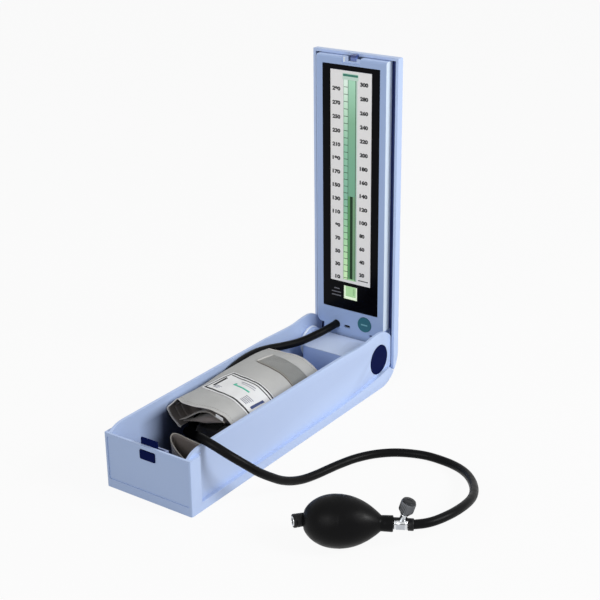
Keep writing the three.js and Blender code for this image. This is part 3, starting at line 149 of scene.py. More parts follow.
class Finish:
    """A material under construction: a principled shader and short ways to feed it."""

    def __init__(self, name, color, roughness, **inputs):
        self.name = name
        self.material = bpy.data.materials.new(name)
        self.material.use_nodes = True
        self.tree = self.material.node_tree
        self.shader = self.tree.nodes["Principled BSDF"]
        self.color = linear(color)
        self.shader.inputs["Base Color"].default_value = self.color
        self.shader.inputs["Roughness"].default_value = roughness
        for key, value in inputs.items():
            self.shader.inputs[key.replace("_", " ")].default_value = value
        self.place = self.node("ShaderNodeTexCoord").outputs["Object"]
        self.height = None

    def node(self, *values, **settings):
        return add_node(self.tree, *values, **settings)

    def feed(self, key, value):
        self.tree.links.new(value, self.shader.inputs[key])

    def compute(self, operation, *values):
        inputs = dict(enumerate(values))
        return self.node("ShaderNodeMath", inputs, operation=operation).outputs[0]

    def axis(self, key):
        return self.node("ShaderNodeSeparateXYZ", {"Vector": self.place}).outputs[key]

    def noise(self, scale, detail, stretch=None):
        source = self.place
        if stretch:
            mapping = self.node("ShaderNodeMapping", {"Scale": stretch, "Vector": source})
            source = mapping.outputs["Vector"]
        inputs = {"Scale": scale, "Detail": detail, "Vector": source}
        return self.node("ShaderNodeTexNoise", inputs).outputs["Fac"]

    def remap(self, value, *ends):
        """Maps a value from between the first two ends to between the last two."""
        inputs = dict(zip(("From Min", "From Max", "To Min", "To Max"), ends), Value=value)
        return self.node("ShaderNodeMapRange", inputs).outputs["Result"]

    def tint(self, factor, color):
        """Mixes a colour over the base colour where factor is high."""
        feed = self.shader.inputs["Base Color"]
        under = feed.links[0].from_socket if feed.is_linked else self.color
        inputs = {"Factor": factor, MIX_UNDER: under, MIX_OVER: color}
        mix = self.node("ShaderNodeMix", inputs, data_type="RGBA")
        self.feed("Base Color", mix.outputs[MIX_RESULT])

    def rough(self, value, low, high):
        self.feed("Roughness", self.remap(value, 0.3, 0.7, low, high))

    def bump(self, value, strength, distance):
        inputs = {"Strength": strength, "Distance": distance, "Height": value}
        if self.height:
            inputs["Normal"] = self.height
        self.height = self.node("ShaderNodeBump", inputs).outputs["Normal"]
        self.feed("Normal", self.height)

    def shadow(self, color, amount, x_under, fades):
        """Darkens a hollow softly. A fade is an axis and its start and end in millimetres."""
        away = self.compute("ABSOLUTE", self.axis("X"))
        factor = self.compute("LESS_THAN", away, x_under * MM)
        for key, start, end in fades:
            fade = self.remap(self.axis(key), start * MM, end * MM, 0, 1)
            factor = self.compute("MULTIPLY", fade, factor)
        factor = self.remap(factor, 0, 1, 0, amount)
        self.tint(factor, linear(color))
        return factor

    def zone(self, color, amount=1.0, **limits):
        """Tints a block of the piece. Limits such as y_over are in millimetres, for x on |x|."""
        factor = amount
        for key, limit in limits.items():
            axis, side = key.split("_")
            spot = self.axis(axis.upper())
            if axis == "x":
                spot = self.compute("ABSOLUTE", spot)
            test = "GREATER_THAN" if side == "over" else "LESS_THAN"
            factor = self.compute("MULTIPLY", self.compute(test, spot, limit * MM), factor)
        self.tint(factor, linear(color))


def shade(color, factor):
    return (*(min(c * factor, 1) for c in color[:3]), 1.0)


def moulded(name, color, roughness, grain=0.25, shine=0.5, coat=0.12):
    """Moulded plastic, a little lighter along its sharp edges: partly wear, partly a painted
    highlight.
    """
    made = Finish(name, color, roughness, Coat_Weight=coat, Coat_Roughness=0.2,
                  Specular_IOR_Level=shine)
    made.tint(made.remap(made.noise(9, 3), 0.35, 0.65, 0, 0.5), shade(made.color, 0.96))
    # Lighter sharp edges: wear, and a painted highlight where the edges catch the light
    pointed = made.node("ShaderNodeNewGeometry").outputs["Pointiness"]
    made.tint(made.remap(pointed, 0.52, 0.6, 0, 0.45), shade(made.color, 1.18))
    made.rough(made.noise(60, 5), roughness - 0.05, roughness + 0.07)
    made.bump(made.noise(2600, 2), grain, 0.00006)
    made.bump(made.noise(28, 2), 0.12, 0.0004)
    return made


def fabric(name, color, dark, weave=1500, left_shade=0.0):
    """Coated woven cloth: crossed threads, soft colour changes and fine creases. left_shade paints
    shade that darkens the cloth towards its left.
    """
    dark = linear(dark)
    made = Finish(name, color, 0.62, Sheen_Weight=0.25, Sheen_Roughness=0.4)
    threads = {"Scale": weave, "Distortion": 0.6, "Vector": made.place}
    warp, weft = (
        made.node("ShaderNodeTexWave", threads, bands_direction=key).outputs["Fac"]
        for key in ("X", "Y"))
    both = made.compute("MULTIPLY", warp, weft)
    made.tint(made.remap(made.noise(22, 5), 0.35, 0.7, 0, 0.7), dark)
    made.tint(made.remap(both, 0.1, 0.9, 0.14, 0), shade(dark, 0.8))
    # Painted shade: the cloth darker towards its left side
    if left_shade:
        across = made.remap(made.axis("X"), -44 * MM, 14 * MM, left_shade, 0)
        made.tint(across, shade(dark, 0.78))
    made.rough(made.noise(90, 4), 0.55, 0.72)
    made.bump(made.noise(55, 4, (1, 0.35, 1)), 0.3, 0.0012)
    made.bump(both, 0.35, 0.00015)
    return made


def soft_rubber(name, color, roughness):
    made = Finish(name, color, roughness, Specular_IOR_Level=0.09)
    made.tint(made.remap(made.noise(40, 5), 0.45, 0.75, 0, 0.5), shade(made.color, 1.7))
    made.rough(made.noise(150, 4), roughness - 0.06, roughness + 0.1)
    made.bump(made.noise(1800, 3), 0.25, 0.00006)
    return made


def metal(name, color, roughness, stretch=(1, 1, 1)):
    made = Finish(name, color, roughness, Metallic=1.0)
    made.rough(made.noise(700, 3, stretch), roughness - 0.04, roughness + 0.1)
    made.tint(made.remap(made.noise(60, 3), 0.4, 0.7, 0, 0.35), shade(made.color, 0.8))
    made.bump(made.noise(900, 2, stretch), 0.08, 0.00005)
    return made


def ink(name, color, roughness=0.5, speckle=0.3, glow=0.0):
    made = Finish(
        name, color, roughness, Emission_Color=linear(color), Emission_Strength=glow)
    made.tint(made.remap(made.noise(900, 3), 0.4, 0.7, 0, speckle), shade(made.color, 1.25))
    made.rough(made.noise(300, 2), roughness - 0.05, roughness + 0.08)
    return made


SCREEN_LOW = 86 * MM
SCREEN_HIGH = 334 * MM


def glowing(name, color, *stops):
    """Lit LCD: a colour ramp up the screen from its foot's colour through the stops."""
    made = Finish(name, color, 0.22, Coat_Weight=0.5, Coat_Roughness=0.08,
                  Emission_Strength=0.24)
    along = made.remap(made.axis("Z"), SCREEN_LOW, SCREEN_HIGH, 0, 1)
    ramp = made.node("ShaderNodeValToRGB", {"Fac": along})
    stops = [(0.0, color), *stops]
    while len(ramp.color_ramp.elements) < len(stops):
        ramp.color_ramp.elements.new(0.5)
    for element, (position, shown) in zip(ramp.color_ramp.elements, stops):
        element.position = position
        element.color = linear(shown)
    made.feed("Base Color", ramp.outputs["Color"])
    made.feed("Emission Color", ramp.outputs["Color"])
    made.rough(made.noise(500, 2), 0.16, 0.26)
    return made


CASE = (184, 203, 240)
RUBBER = (9, 9, 10)
# Painted shade: dark navy in the gap between lid parts and in the latch recess, and over the hook
# tab in that recess
GROOVE_SHADE = (20, 42, 116)
HOOK_TAB_SHADE = (112, 132, 196)
# Each row: name, colour in screen values and the rest of its maker's settings
FINISH_ROWS = (
    (moulded, (
        ("case_blue", CASE, 0.38), ("inner_blue", (172, 187, 228), 0.45),
        # bright_edge is a painted highlight colour, used where lips and edges catch the light
        ("navy", (9, 19, 66), 0.4, 0.25, 0.012, 0.0), ("bright_edge", (224, 234, 252), 0.36),
        ("panel_black", (5, 5, 9), 0.2, 0.05, 0.06, 0.0), ("board_green", (24, 84, 46), 0.5),
        ("dark_plastic", (14, 14, 16), 0.42, 0.25, 0.2, 0.0), ("teal", (38, 108, 122), 0.36),
    )),
    (soft_rubber, (("rubber", RUBBER, 0.36),)),
    (metal, (
        ("steel", (190, 194, 200), 0.28, (1, 1, 0.1)),
        ("chrome", (222, 225, 228), 0.14, (0.2, 1, 1)),
        ("gunmetal", (104, 106, 110), 0.3), ("gunmetal_dark", (58, 59, 62), 0.3),
        ("cell_gold", (196, 158, 74), 0.32),
    )),
    (fabric, (
        # cuff_grey's last setting paints shade towards its left side
        ("cuff_grey", (201, 201, 199), (176, 177, 176), 1500, 0.85),
        ("cuff_dark", (110, 104, 101), (84, 79, 77)),
        ("cuff_light", (212, 210, 207), (194, 192, 189)),
        ("cuff_fold", (128, 120, 117), (98, 92, 90)),
        ("cuff_hem", (168, 164, 156), (146, 142, 135)),
        ("cuff_shadow", (36, 34, 35), (24, 22, 24)),
        ("cuff_tail", (112, 104, 99), (86, 80, 76)),
        ("cuff_patch", (138, 139, 137), (119, 120, 118), 900),
    )),
    (ink, (
        # plate_white's faint glow is painted light on the white plate
        ("plate_white", (244, 243, 243), 0.42, 0.15, 0.05),
        ("light_guide", (240, 244, 236), 0.35), ("label_white", (236, 237, 238), 0.35, 0.1),
        ("print_dark", (16, 17, 22), 0.6, 0.1), ("print_grey", (150, 152, 166)),
        ("print_navy", (62, 78, 130)), ("print_green", (70, 190, 160)),
        ("print_dim", (104, 104, 112)), ("print_mint", (212, 240, 226), 0.5, 0.1),
        ("print_lime", (238, 255, 224), 0.5, 0, 0.34),
        ("print_field", (178, 222, 164), 0.5, 0.1, 0.26),
        ("print_digit", (140, 186, 130), 0.5, 0.1, 0.26),
        ("print_mid", (84, 146, 92), 0.5, 0.1, 0.22), ("print_bar", (4, 50, 20), 0.7, 0.1),
        ("print_soft", (114, 156, 118), 0.5, 0.1, 0.2), ("print_teal", (54, 130, 112)),
        ("button_print", (122, 182, 190)), ("thread", (158, 155, 148), 0.8),
    )),
    (glowing, (
        ("screen_green", (206, 242, 186), (0.1, (150, 200, 150)), (0.35, (98, 160, 128)),
         (0.62, (106, 164, 134)), (0.8, (120, 174, 140)), (1.0, (166, 218, 188))),
        ("tick_green", (226, 252, 204), (0.14, (196, 236, 180)), (0.3, (160, 212, 166)),
         (0.46, (124, 182, 156)), (0.7, (134, 190, 160)), (0.86, (190, 226, 200)),
         (1.0, (232, 248, 238))),
    )),
)
finishes = {row[0]: make(*row).material for make, rows in FINISH_ROWS for row in rows}

# Finishes of single pieces, with zones that follow the photo: painted shade, a painted highlight
# and a painted shadow

SEAM_LEVEL = HINGE_Y + 27.0
HOOK_LEVEL = HINGE_Y + 23.6
END_WALL_LEVEL = -177.6


def piece_finishes():
    front = moulded("lid_front", CASE, 0.38)
    # Painted shade in the groove beside the front body, a painted highlight on its lit right side,
    # and painted shade on its front face
    front.zone(GROOVE_SHADE, 0.92, x_over=42.9, y_over=SEAM_LEVEL)
    front.zone((226, 240, 254), x_over=42.9, y_under=SEAM_LEVEL)
    front.zone((167, 190, 232), x_under=42.4, y_under=HINGE_Y + 17.6)
    shell = moulded("lid_shell", CASE, 0.38)
    # Painted shade in the groove along the shell's sides and in the latch recess, over its hook tab
    # too
    shell.zone(GROOVE_SHADE, 0.92, x_over=42.5, x_under=49.1, y_over=SEAM_LEVEL,
               y_under=HINGE_Y + 31.4, z_over=26, z_under=354.1)
    shell.zone(GROOVE_SHADE, 0.92, x_under=6, y_under=HOOK_LEVEL)
    shell.zone(HOOK_TAB_SHADE, 0.9, x_under=6, y_under=HOOK_LEVEL, z_under=353.6)
    base = moulded("base_case", CASE, 0.38)
    # Painted shadow of the cuff on the tray's inner walls near its mouth
    base.shadow((16, 22, 50), 0.95, 45.3, (
        ("Y", HINGE_Y - 284, HINGE_Y - 248), ("Y", HINGE_Y - 90, HINGE_Y - 150),
        ("Z", 57.5, 46)))
    # Painted shade on the end wall's outer face
    base.zone((159, 179, 215), y_under=END_WALL_LEVEL)
    deck = moulded("deck_cover", (200, 214, 246), 0.42)
    # Painted shade on the deck's front face
    deck.zone((164, 192, 250), 0.8, y_under=HINGE_Y - 31.6, z_under=42.7)
    hose = soft_rubber("bulb_hose", RUBBER, 0.36)
    # Painted shade on the hose inside the tray: darker colour and no reflection there
    hose_painted_shade = hose.shadow((2, 2, 3), 0.9, 60, (("X", 58, 40),))
    hose.feed("Specular IOR Level", hose.remap(hose_painted_shade, 0, 0.9, 0.09, 0))
    return {made.name: made.material for made in (front, shell, base, deck, hose)}


finishes.update(piece_finishes())

# Meshes


def add_mesh(name, points, faces, slot, finish=None, body="base", smooth=True):
    """A new piece in the row frame, in metres. It stands for the CAD node of its name, if any."""
    shown_name = name + "_form" if name in nodes else name
    mesh = bpy.data.meshes.new(shown_name)
    mesh.from_pydata([tuple(p) for p in points], [], faces)
    mesh.update()
    for polygon in mesh.polygons:
        polygon.use_smooth = smooth
    mesh.materials.append(finishes[finish or slot])
    piece = add_object(shown_name, mesh)
    if body:
        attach(piece, body)
    if name in nodes:
        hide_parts(name)
    return piece


def add_solid(*values, **settings):
    """A new closed piece whose faces all look outwards."""
    piece = add_mesh(*values, **settings)
    work = bmesh.new()
    work.from_mesh(piece.data)
    bmesh.ops.recalc_face_normals(work, faces=work.faces)
    work.to_mesh(piece.data)
    work.free()
    return piece


def bevel(piece, width, segments=2, angle=30):
    edge = piece.modifiers.new("edge", "BEVEL")
    edge.width = width
    edge.segments = segments
    edge.angle_limit = math.radians(angle)
    edge.harden_normals = True


def subdivide(piece):
    finer = piece.modifiers.new("finer", "SUBSURF")
    finer.levels = 1
    finer.render_levels = 1


def between(p, q, start, end, s):
    """The point at s on the line that is at p for start and at q for end."""
    return (end - s) / (end - start) * p + (s - start) / (end - start) * q


def curve_points(points, step):
    """Points about a step apart along a centripetal Catmull-Rom curve through the given ones."""
    p = np.array(points, float)
    p = np.vstack([2 * p[0] - p[1], p, 2 * p[-1] - p[-2]])
    out = []
    for i in range(1, len(p) - 2):
        near = p[i - 1:i + 3]
        t = np.cumsum([0, *np.linalg.norm(np.diff(near, axis=0), axis=1) ** 0.5])
        count = max(int(math.ceil(np.linalg.norm(near[2] - near[1]) / step)), 1)
        for k in range(count):
            s = t[1] + (t[2] - t[1]) * k / count
            a = [between(near[j], near[j + 1], t[j], t[j + 1], s) for j in range(3)]
            b = [between(a[j], a[j + 1], t[j], t[j + 2], s) for j in range(2)]
            out.append(between(*b, t[1], t[2], s))
    out.append(p[-2])
    return np.array(out)


def resample(line, count):
    """Points at equal spacing along a polyline."""
    line = np.array(line, float)
    run = np.concatenate([[0], np.cumsum(np.linalg.norm(np.diff(line, axis=0), axis=1))])
    spots = np.linspace(0, run[-1], count)
    return np.stack([np.interp(spots, run, line[:, k]) for k in range(line.shape[1])], axis=1)


def length_of(line):
    return float(np.linalg.norm(np.diff(np.array(line), axis=0), axis=1).sum())


def placed(points):
    return np.array([tuple(place(*p)) for p in points], float)


def turns(count):
    """Angles at equal spacing round a full turn."""
    return [2 * math.pi * k / count for k in range(count)]


def ring_faces(rings, sides):
    """Quads between closed rings of points and a cap at both ends."""
    faces = []
    for r in range(rings - 1):
        for k in range(sides):
            a = r * sides + k
            b = r * sides + (k + 1) % sides
            faces.append((a, b, b + sides, a + sides))
    faces.append(tuple(range(sides))[::-1])
    faces.append(tuple(range((rings - 1) * sides, rings * sides)))
    return faces


def tube_mesh(path, radius, sides):
    """Rings round a path, closed at both ends. Returns points and faces."""
    heading = np.gradient(path, axis=0)
    heading /= np.linalg.norm(heading, axis=1)[:, None]
    side = np.cross(heading[0], (0, 0, 1))
    points = []
    for here, ahead in zip(path, heading):
        side = side - ahead * side.dot(ahead)
        side /= np.linalg.norm(side)
        up = np.cross(ahead, side)
        for turn in turns(sides):
            points.append(here + radius * (math.cos(turn) * side + math.sin(turn) * up))
    return points, ring_faces(len(path), sides)


def cushion(name, rings, slot, finish):
    """A soft closed body through rings of points in millimetres."""
    points = placed([p for ring in rings for p in ring])
    piece = add_solid(name, points, ring_faces(len(rings), len(rings[0])), slot, finish)
    subdivide(piece)


# Hoses: the points are in millimetres, y from the hinge axis and z from the table

HOSE_RADIUS = 4.2 * MM
LID_HOSE = [
    (-17.9, 17.2, 54.2), (-17.9, 9.2, 54.2), (-19.6, -3, 53), (-23.2, -20, 51.4),
    (-27.2, -42, 51.2), (-32.5, -64, 53.2), (-37.4, -84, 56.2), (-39.9, -104, 58.4),
    (-40.3, -130, 57.7), (-40.4, -150, 53.6), (-40.3, -166, 47.9), (-40.2, -181, 43.4),
    (-40.1, -196.4, 41.6),
]
BULB_HOSE = [
    (-27.6, -210, 34), (-26.6, -216.8, 34), (-22.6, -228.7, 34), (-14.5, -242, 36),
    (-6, -255, 41.5), (2.5, -267, 48.7), (11.3, -278, 56.2), (21, -287.5, 62.4),
    (31, -294, 66.2), (38.2, -296.9, 67.8), (46, -298.4, 68.1), (53.8, -298.6, 66.6),
    (61.2, -297.5, 63.9), (74.1, -292.4, 56), (83.5, -284, 46.5), (90, -273.5, 36),
    (94.3, -261, 26.3), (97, -248, 17.5), (99.1, -233.5, 10.5), (101.5, -218, 6),
    (104.7, -202.5, 4.4), (108.5, -186.5, 4.3), (112.6, -171, 4.3), (118.8, -154, 4.3),
    (129.8, -136.4, 4.3), (146.4, -121.6, 4.3), (171.5, -111.7, 4.3), (195.6, -111.6, 4.4),
    (211, -116.4, 5.5), (224.4, -125, 7.3), (235.5, -136.2, 9.5), (245, -149, 12),
    (252.7, -162.7, 15), (258.5, -177.5, 18), (261.8, -193, 21), (262.5, -209, 23.1),
    (260.5, -225, 24.3), (255.8, -238.6, 24.3), (251, -246.5, 24.1), (245.9, -251.6, 23.9),
    (241.38, -255.09, 23.65), (238.76, -256.55, 23.65),
]


def add_hose(name, points, body):
    path = curve_points(placed(points), 2.5 * MM)
    own = name if name in finishes else None
    return add_mesh(name, *tube_mesh(path, HOSE_RADIUS, 28), "rubber", own, body), path


bulb_hose, bulb_line = add_hose("bulb_hose", BULB_HOSE, "base")
lid_hose, lid_line = add_hose("manometer_hose", LID_HOSE, None)
lid_line = lid_line[::-1]
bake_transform(lid_hose)

# Turned pieces


def turned(along, radius, turn):
    """A point on a turned piece: millimetres along its axis and out from it."""
    return Vector((along * MM, radius * MM * math.cos(turn), radius * MM * math.sin(turn)))


def lathe(name, profile, matrix, slot, segments, closed=False, finish=None, body="base"):
    """A body turned round its own x axis from (along, radius) pairs in millimetres."""
    points = []
    rings = []
    for along, radius in profile:
        spots = [matrix @ turned(along, radius, turn) for turn in turns(segments if radius else 1)]
        rings.append(range(len(points), len(points) + len(spots)))
        points += spots
    faces = []
    for low, high in zip(rings, rings[1:] + rings[:1] if closed else rings[1:]):
        for k in range(segments):
            corners = ((low, k), (low, k + 1), (high, k + 1), (high, k))
            face = tuple(dict.fromkeys(ring[i % len(ring)] for ring, i in corners))
            if len(face) > 2:
                faces.append(face)
    add_solid(name, points, faces, slot, finish, body)


BULB_RADIUS = 23.65
BULB_LENGTH = 66
BULB_WIDEST = 29
BULB_MOUTH_RADIUS = 6.1
NECK_LENGTH = 12.6
NECK_RADIUS = 7
NECK_END = BULB_LENGTH + NECK_LENGTH
PLUG_TURN = math.radians(22)
BULB_HEADING = math.radians(29.1)
bulb_matrix = Matrix.Translation(place(158.9, -301, BULB_RADIUS)) @ Matrix.Rotation(
    BULB_HEADING, 4, "Z")


def bulb_outer(u):
    if u < BULB_WIDEST:
        reach = BULB_WIDEST / math.sqrt(1 - (BULB_MOUTH_RADIUS / BULB_RADIUS) ** 2)
        return BULB_RADIUS * math.sqrt(1 - ((BULB_WIDEST - u) / reach) ** 2)
    t = min((u - BULB_WIDEST) / (BULB_LENGTH + 2 - BULB_WIDEST), 1)
    return NECK_RADIUS + (BULB_RADIUS - NECK_RADIUS) * (1 - t ** 2.2)


def add_bulb():
    outer = [(0.3, 5.2), (0, 5.6), (0.15, 6.0), (0.6, 6.3)]
    for u in np.linspace(1.2, BULB_LENGTH + 2, 64):
        seam = 0.14 * math.exp(-((u - 33) / 0.35) ** 2)
        outer.append((u, bulb_outer(u) + seam))
    ribs = [
        (BULB_LENGTH + 5, 7.1), (NECK_END - 0.8, 7.25), (NECK_END - 0.2, 7.0),
        (NECK_END, 6.5), (NECK_END, 4.4),
    ]
    inner = [(62, 4.6), (54, 12), (44, 17.5), (29, 21), (16, 18), (8, 10), (5, 4.4), (0.3, 4.4)]
    lathe("bulb", outer + ribs + inner, bulb_matrix, "rubber", 128, True)
    plug_matrix = bulb_matrix @ Matrix.Rotation(PLUG_TURN, 4, "Z")
    lathe(
        "bulb_inlet_valve",
        [
            (7, 0), (7, 4), (1.2, 4), (1.2, 5.9), (-2.4, 6.0), (-5.4, 6.1), (-5.8, 5.9),
            (-6.3, 5.9), (-6.7, 6.2), (-8.7, 6.1), (-9.2, 5.6), (-9.2, 3.0), (-8.8, 2.8),
            (-8.8, 1.7), (-6.2, 1.6), (-6.2, 0),
        ],
        plug_matrix, "dark_plastic", 64)
    lathe(
        "bulb_inlet_ferrule",
        [(-9.0, 4.4), (-9.6, 4.3), (-9.8, 3.8), (-9.6, 3.2), (-8.9, 3.1), (-8.9, 4.4)],
        plug_matrix, "chrome", 48, True)


add_bulb()

VALVE_LENGTH = 12.2
VALVE_START = NECK_END + 0.3
VALVE_END = VALVE_START + VALVE_LENGTH
VALVE_MIDDLE = VALVE_START + VALVE_LENGTH / 2
VALVE_TILT = math.radians(17)
knob_matrix = (
    bulb_matrix
    @ Matrix.Translation((VALVE_MIDDLE * MM, 0, 0))
    @ Matrix.Rotation(VALVE_TILT, 4, "Y")
    @ Matrix.Rotation(math.radians(-90), 4, "Y")
)
KNOB_LOW = 11.1
KNURLS = 30
KNURL_DEPTH = 0.34


def add_valve_body():
    start = VALVE_START
    end = VALVE_END
    rim = ((0, 4.6), (0.3, 4.95), (1.5, 5.0), (1.7, 4.8), (2.0, 4.8), (2.2, 5.0))
    profile = [(start - 7, 0), (start - 7, 3.9), (start, 3.9)]
    profile += [(start + along, radius) for along, radius in rim]
    profile += [(end - along, radius) for along, radius in rim[::-1]] + [(end, 0)]
    lathe("valve_body", profile, bulb_matrix, "chrome", 64)
    for name, ends, reach, radii, finish in (
        ("valve_sleeve", (start - 0.2, end + 0.3), (20, 112), (5.05, 5.7), "dark_plastic"),
        ("valve_seam", (start + 0.4, end - 0.4), (149, 155), (4.7, 5.04), "dark_plastic"),
        ("valve_band", (start + 2.4, end - 2.4), (157, 250), (4.8, 5.06), "steel"),
    ):
        points = [
            bulb_matrix @ turned(ends[i], radii[k], turn)
            for turn in np.radians(np.linspace(*reach, 14))
            for i, k in ((0, 0), (1, 0), (1, 1), (0, 1))]
        bevel(add_solid(name, points, ring_faces(14, 4), "chrome", finish), 0.1 * MM)
    lathe(
        "hose_collar",
        [
            (end + 0.2, 4.35), (end + 0.2, 5.2), (end + 0.6, 5.5), (end + 4.6, 5.45),
            (end + 5.2, 5.2), (end + 5.4, 4.7), (end + 5.4, 4.35),
        ],
        bulb_matrix, "dark_plastic", 48, True)
    lathe(
        "valve_boss",
        [(2.0, 0), (2.0, 3.1), (9.4, 3.1), (9.7, 3.35), (10.5, 3.35), (10.8, 3.1), (10.8, 0)],
        knob_matrix, "chrome", 40)


def add_knob():
    """The knurled knob. A row is a height over its foot, a radius and 1 where knurls cut in."""
    rows = (
        (0, 2.2, 0), (0, 4.0, 0), (0.4, 4.3, 0), (3.0, 6.1, 0), (3.3, 6.5, 1), (3.7, 6.75, 1),
        (11.6, 6.75, 1), (12.0, 6.5, 1), (12.3, 6.0, 0), (13.3, 5.9, 0), (13.6, 5.5, 0),
        (13.6, 2.6, 0), (13.1, 2.3, 0),
    )
    sides = KNURLS * 6
    points = []
    for along, radius, cut in rows:
        for turn in turns(sides):
            groove = cut * KNURL_DEPTH * (0.5 + 0.5 * math.cos(KNURLS * turn)) ** 0.6
            points.append(knob_matrix @ turned(KNOB_LOW + along, radius - groove, turn))
    knob = add_solid(
        "valve_knob", points, ring_faces(len(rows), sides), "chrome", "gunmetal", "valve_knob")
    knob.data.materials.append(finishes["gunmetal_dark"])
    for polygon in knob.data.polygons:
        polygon.material_index = int(min(polygon.vertices) >= sides * 7)
    bevel(knob, 0.08 * MM, 2, 40)
    stem = [(2.2, 0), (2.2, 1.85), (KNOB_LOW + 0.3, 1.85), (KNOB_LOW + 0.3, 0)]
    lathe("valve_stem", stem, knob_matrix, "steel", 32, body="valve_knob")


add_valve_body()
add_knob()

# Hard CAD shells: flat faces merged, corners rounded. Pieces below stand for the cuff's nodes

slots = {part["node"]: part["material_slot"] for part in frame["record"]["subparts"]}
SMALL_ROUNDING = 0.12
ROUNDINGS = {
    "base_case": 0.7, "lid_shell": 0.6, "lid_front": 0.7, "deck_cover": 0.6,
    "latch_button": 0.4, "lid_tail": 0.5, "battery_door": 0.4, "power_button": 0.6,
    "hinge_cap_left": 0.4, "hinge_cap_right": 0.4, "latch_guide": 0.3, "battery_holder": 0.3,
}


def refine(name):
    piece = nodes[name]
    mesh = piece.data
    attribute = mesh.attributes.get("custom_normal")
    if attribute:
        mesh.attributes.remove(attribute)
    for polygon in mesh.polygons:
        polygon.use_smooth = True
    weld = piece.modifiers.new("weld", "WELD")
    weld.merge_threshold = 1e-6
    flat = piece.modifiers.new("flat", "DECIMATE")
    flat.decimate_type = "DISSOLVE"
    flat.angle_limit = math.radians(1)
    bevel(piece, ROUNDINGS.get(name, SMALL_ROUNDING) * MM, 3 if name in ROUNDINGS else 1)
    mesh.materials.clear()
    mesh.materials.append(finishes[name if name in finishes else slots[name]])


for node_name in sorted(nodes):
    if not (nodes[node_name].hide_render or node_name.startswith("cuff_")):
        refine(node_name)

# The latch's spring, a copy of its own mesh on the base


def add_spring():
    own = nodes["latch_spring"]
    spring = add_object("latch_spring_coil", own.data.copy())
    spring.matrix_world = own.matrix_world
    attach(spring, "base")
    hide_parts("latch_spring")
    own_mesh(spring)


add_spring()

# Lips round the hinge bosses, their bright colour a painted highlight

for name, side in (("hinge_boss_lip_left", -1), ("hinge_boss_lip_right", 1)):
    lathe(
        name,
        [(40.6, 16.2), (40.7, 17.1), (41.2, 17.7), (42.6, 17.8), (43.4, 17.3), (43.6, 16.2)],
        Matrix.Translation(place(0, 0, HINGE_Z)) @ Matrix.Scale(side, 4, (1, 0, 0)),
        "case_blue", 96, True, "bright_edge")

# Display

FACE_Y = 16.3
GLASS_Y = 17.4
SCALE_STEP = 0.746
ZERO_Z = 70.4
DIGIT_WIDTH = 3.3
DIGIT_HEIGHT = 4.5
TICK_DRIFT = 0.028
LCD_ENDS = (76.3, 297.2)
COLUMN_ENDS = (77.4, 171.6)


def scale_z(value):
    return ZERO_Z + SCALE_STEP * value


def lid_point(x, y, z):
    """A point in millimetres, y and z from the hinge axis, in the row frame."""
    return place(x, y, z + HINGE_Z)


def bars(name, slot, finish, y0, y1, *boxes, body="lid"):
    """Thin bars on the display: boxes are (left, right, low, high) with z from the hinge axis."""
    points = []
    faces = []
    for left, right, low, high in boxes:
        a = len(points)
        for y in (y0, y1):
            for x, z in ((left, low), (right, low), (right, high), (left, high)):
                points.append(lid_point(x, y, z))
        faces += [(a, a + 1, a + 2, a + 3), (a + 7, a + 6, a + 5, a + 4)]
        for i in range(4):
            k = (i + 1) % 4
            faces.append((a + i, a + 4 + i, a + 4 + k, a + k))
    return add_mesh(name, points, faces, slot, finish, body, smooth=False)


def drawn_number(text):
    """A plain number's mesh in the font's own units."""
    curve = bpy.data.curves.new("number", "FONT")
    curve.body = text
    curve.extrude = 0.02
    curve.offset = 0.06
    curve.resolution_u = 3
    drawn = add_object("number", curve)
    bpy.context.view_layer.update()
    mesh = bpy.data.meshes.new_from_object(
        drawn.evaluated_get(bpy.context.evaluated_depsgraph_get()))
    bpy.data.objects.remove(drawn)
    bpy.data.curves.remove(curve)
    return mesh


def add_numbers():
    points = []
    faces = []
    for n in range(10, 310, 10):
        width = DIGIT_WIDTH * len(str(n))
        x = 11.4 + width / 2 if n % 20 == 0 else -13 - width / 2
        mesh = drawn_number(str(n))
        spots = np.array([tuple(v.co) for v in mesh.vertices])
        low = spots.min(axis=0)
        high = spots.max(axis=0)
        spots = (spots - (low + high) / 2) * (width, DIGIT_HEIGHT, 1) / (*(high - low)[:2], 1)
        faces += [[len(points) + i for i in p.vertices] for p in mesh.polygons]
        points += [lid_point(x + u, FACE_Y - 0.05 - w, scale_z(n) + v) for u, v, w in spots]
        bpy.data.meshes.remove(mesh)
    add_mesh("scale_numbers", points, faces, "plate_white", "print_dark", "lid", smooth=False)


def add_lid_marks():
    ink_y = FACE_Y - 0.06
    plate_y = FACE_Y + 0.02
    bars("scale_unit_mark", "plate_white", "print_dark", ink_y, plate_y, (10, 23, 78, 79))
    bars("scale_head_field", "plate_white", "print_mint", FACE_Y - 0.03, plate_y,
         (-10.3, 9.3, 297.2, 304))
    bars("scale_head_mark", "plate_white", "print_teal", ink_y, plate_y,
         (-9.7, 8.7, 300.7, 303.1))
    bars("readout_marks", "panel_black", "print_dim", ink_y, plate_y,
         (-24, -12, 55, 56.4), (-24, -12, 59, 60.2), (-21, -14, 63, 64.4))
    blocks = bars(
        "recess_blocks", "case_blue", "case_blue", 17.7, 18.9, (-12.2, -4.2, 313.8, 321.6),
        (5.6, 12.2, 313.8, 319.4), (-4.2, 5.6, 313.8, 316.6))
    bevel(blocks, 0.3 * MM)
    # A thin pale bar at the recess's left side: a painted highlight
    bars("recess_painted_highlight", "case_blue", "bright_edge", 17.3, 17.8, (-10.4, -7.9, 314.8, 320.2))
    bars("lamp_window", "panel_black", "navy", 17.9, 18.3, (25.2, 29.2, 15.4, 17.4))
    bars("button_mark", "teal", "button_print", 15.3, 15.6, (14.9, 23.1, 27.3, 28.8),
         body="power_button")


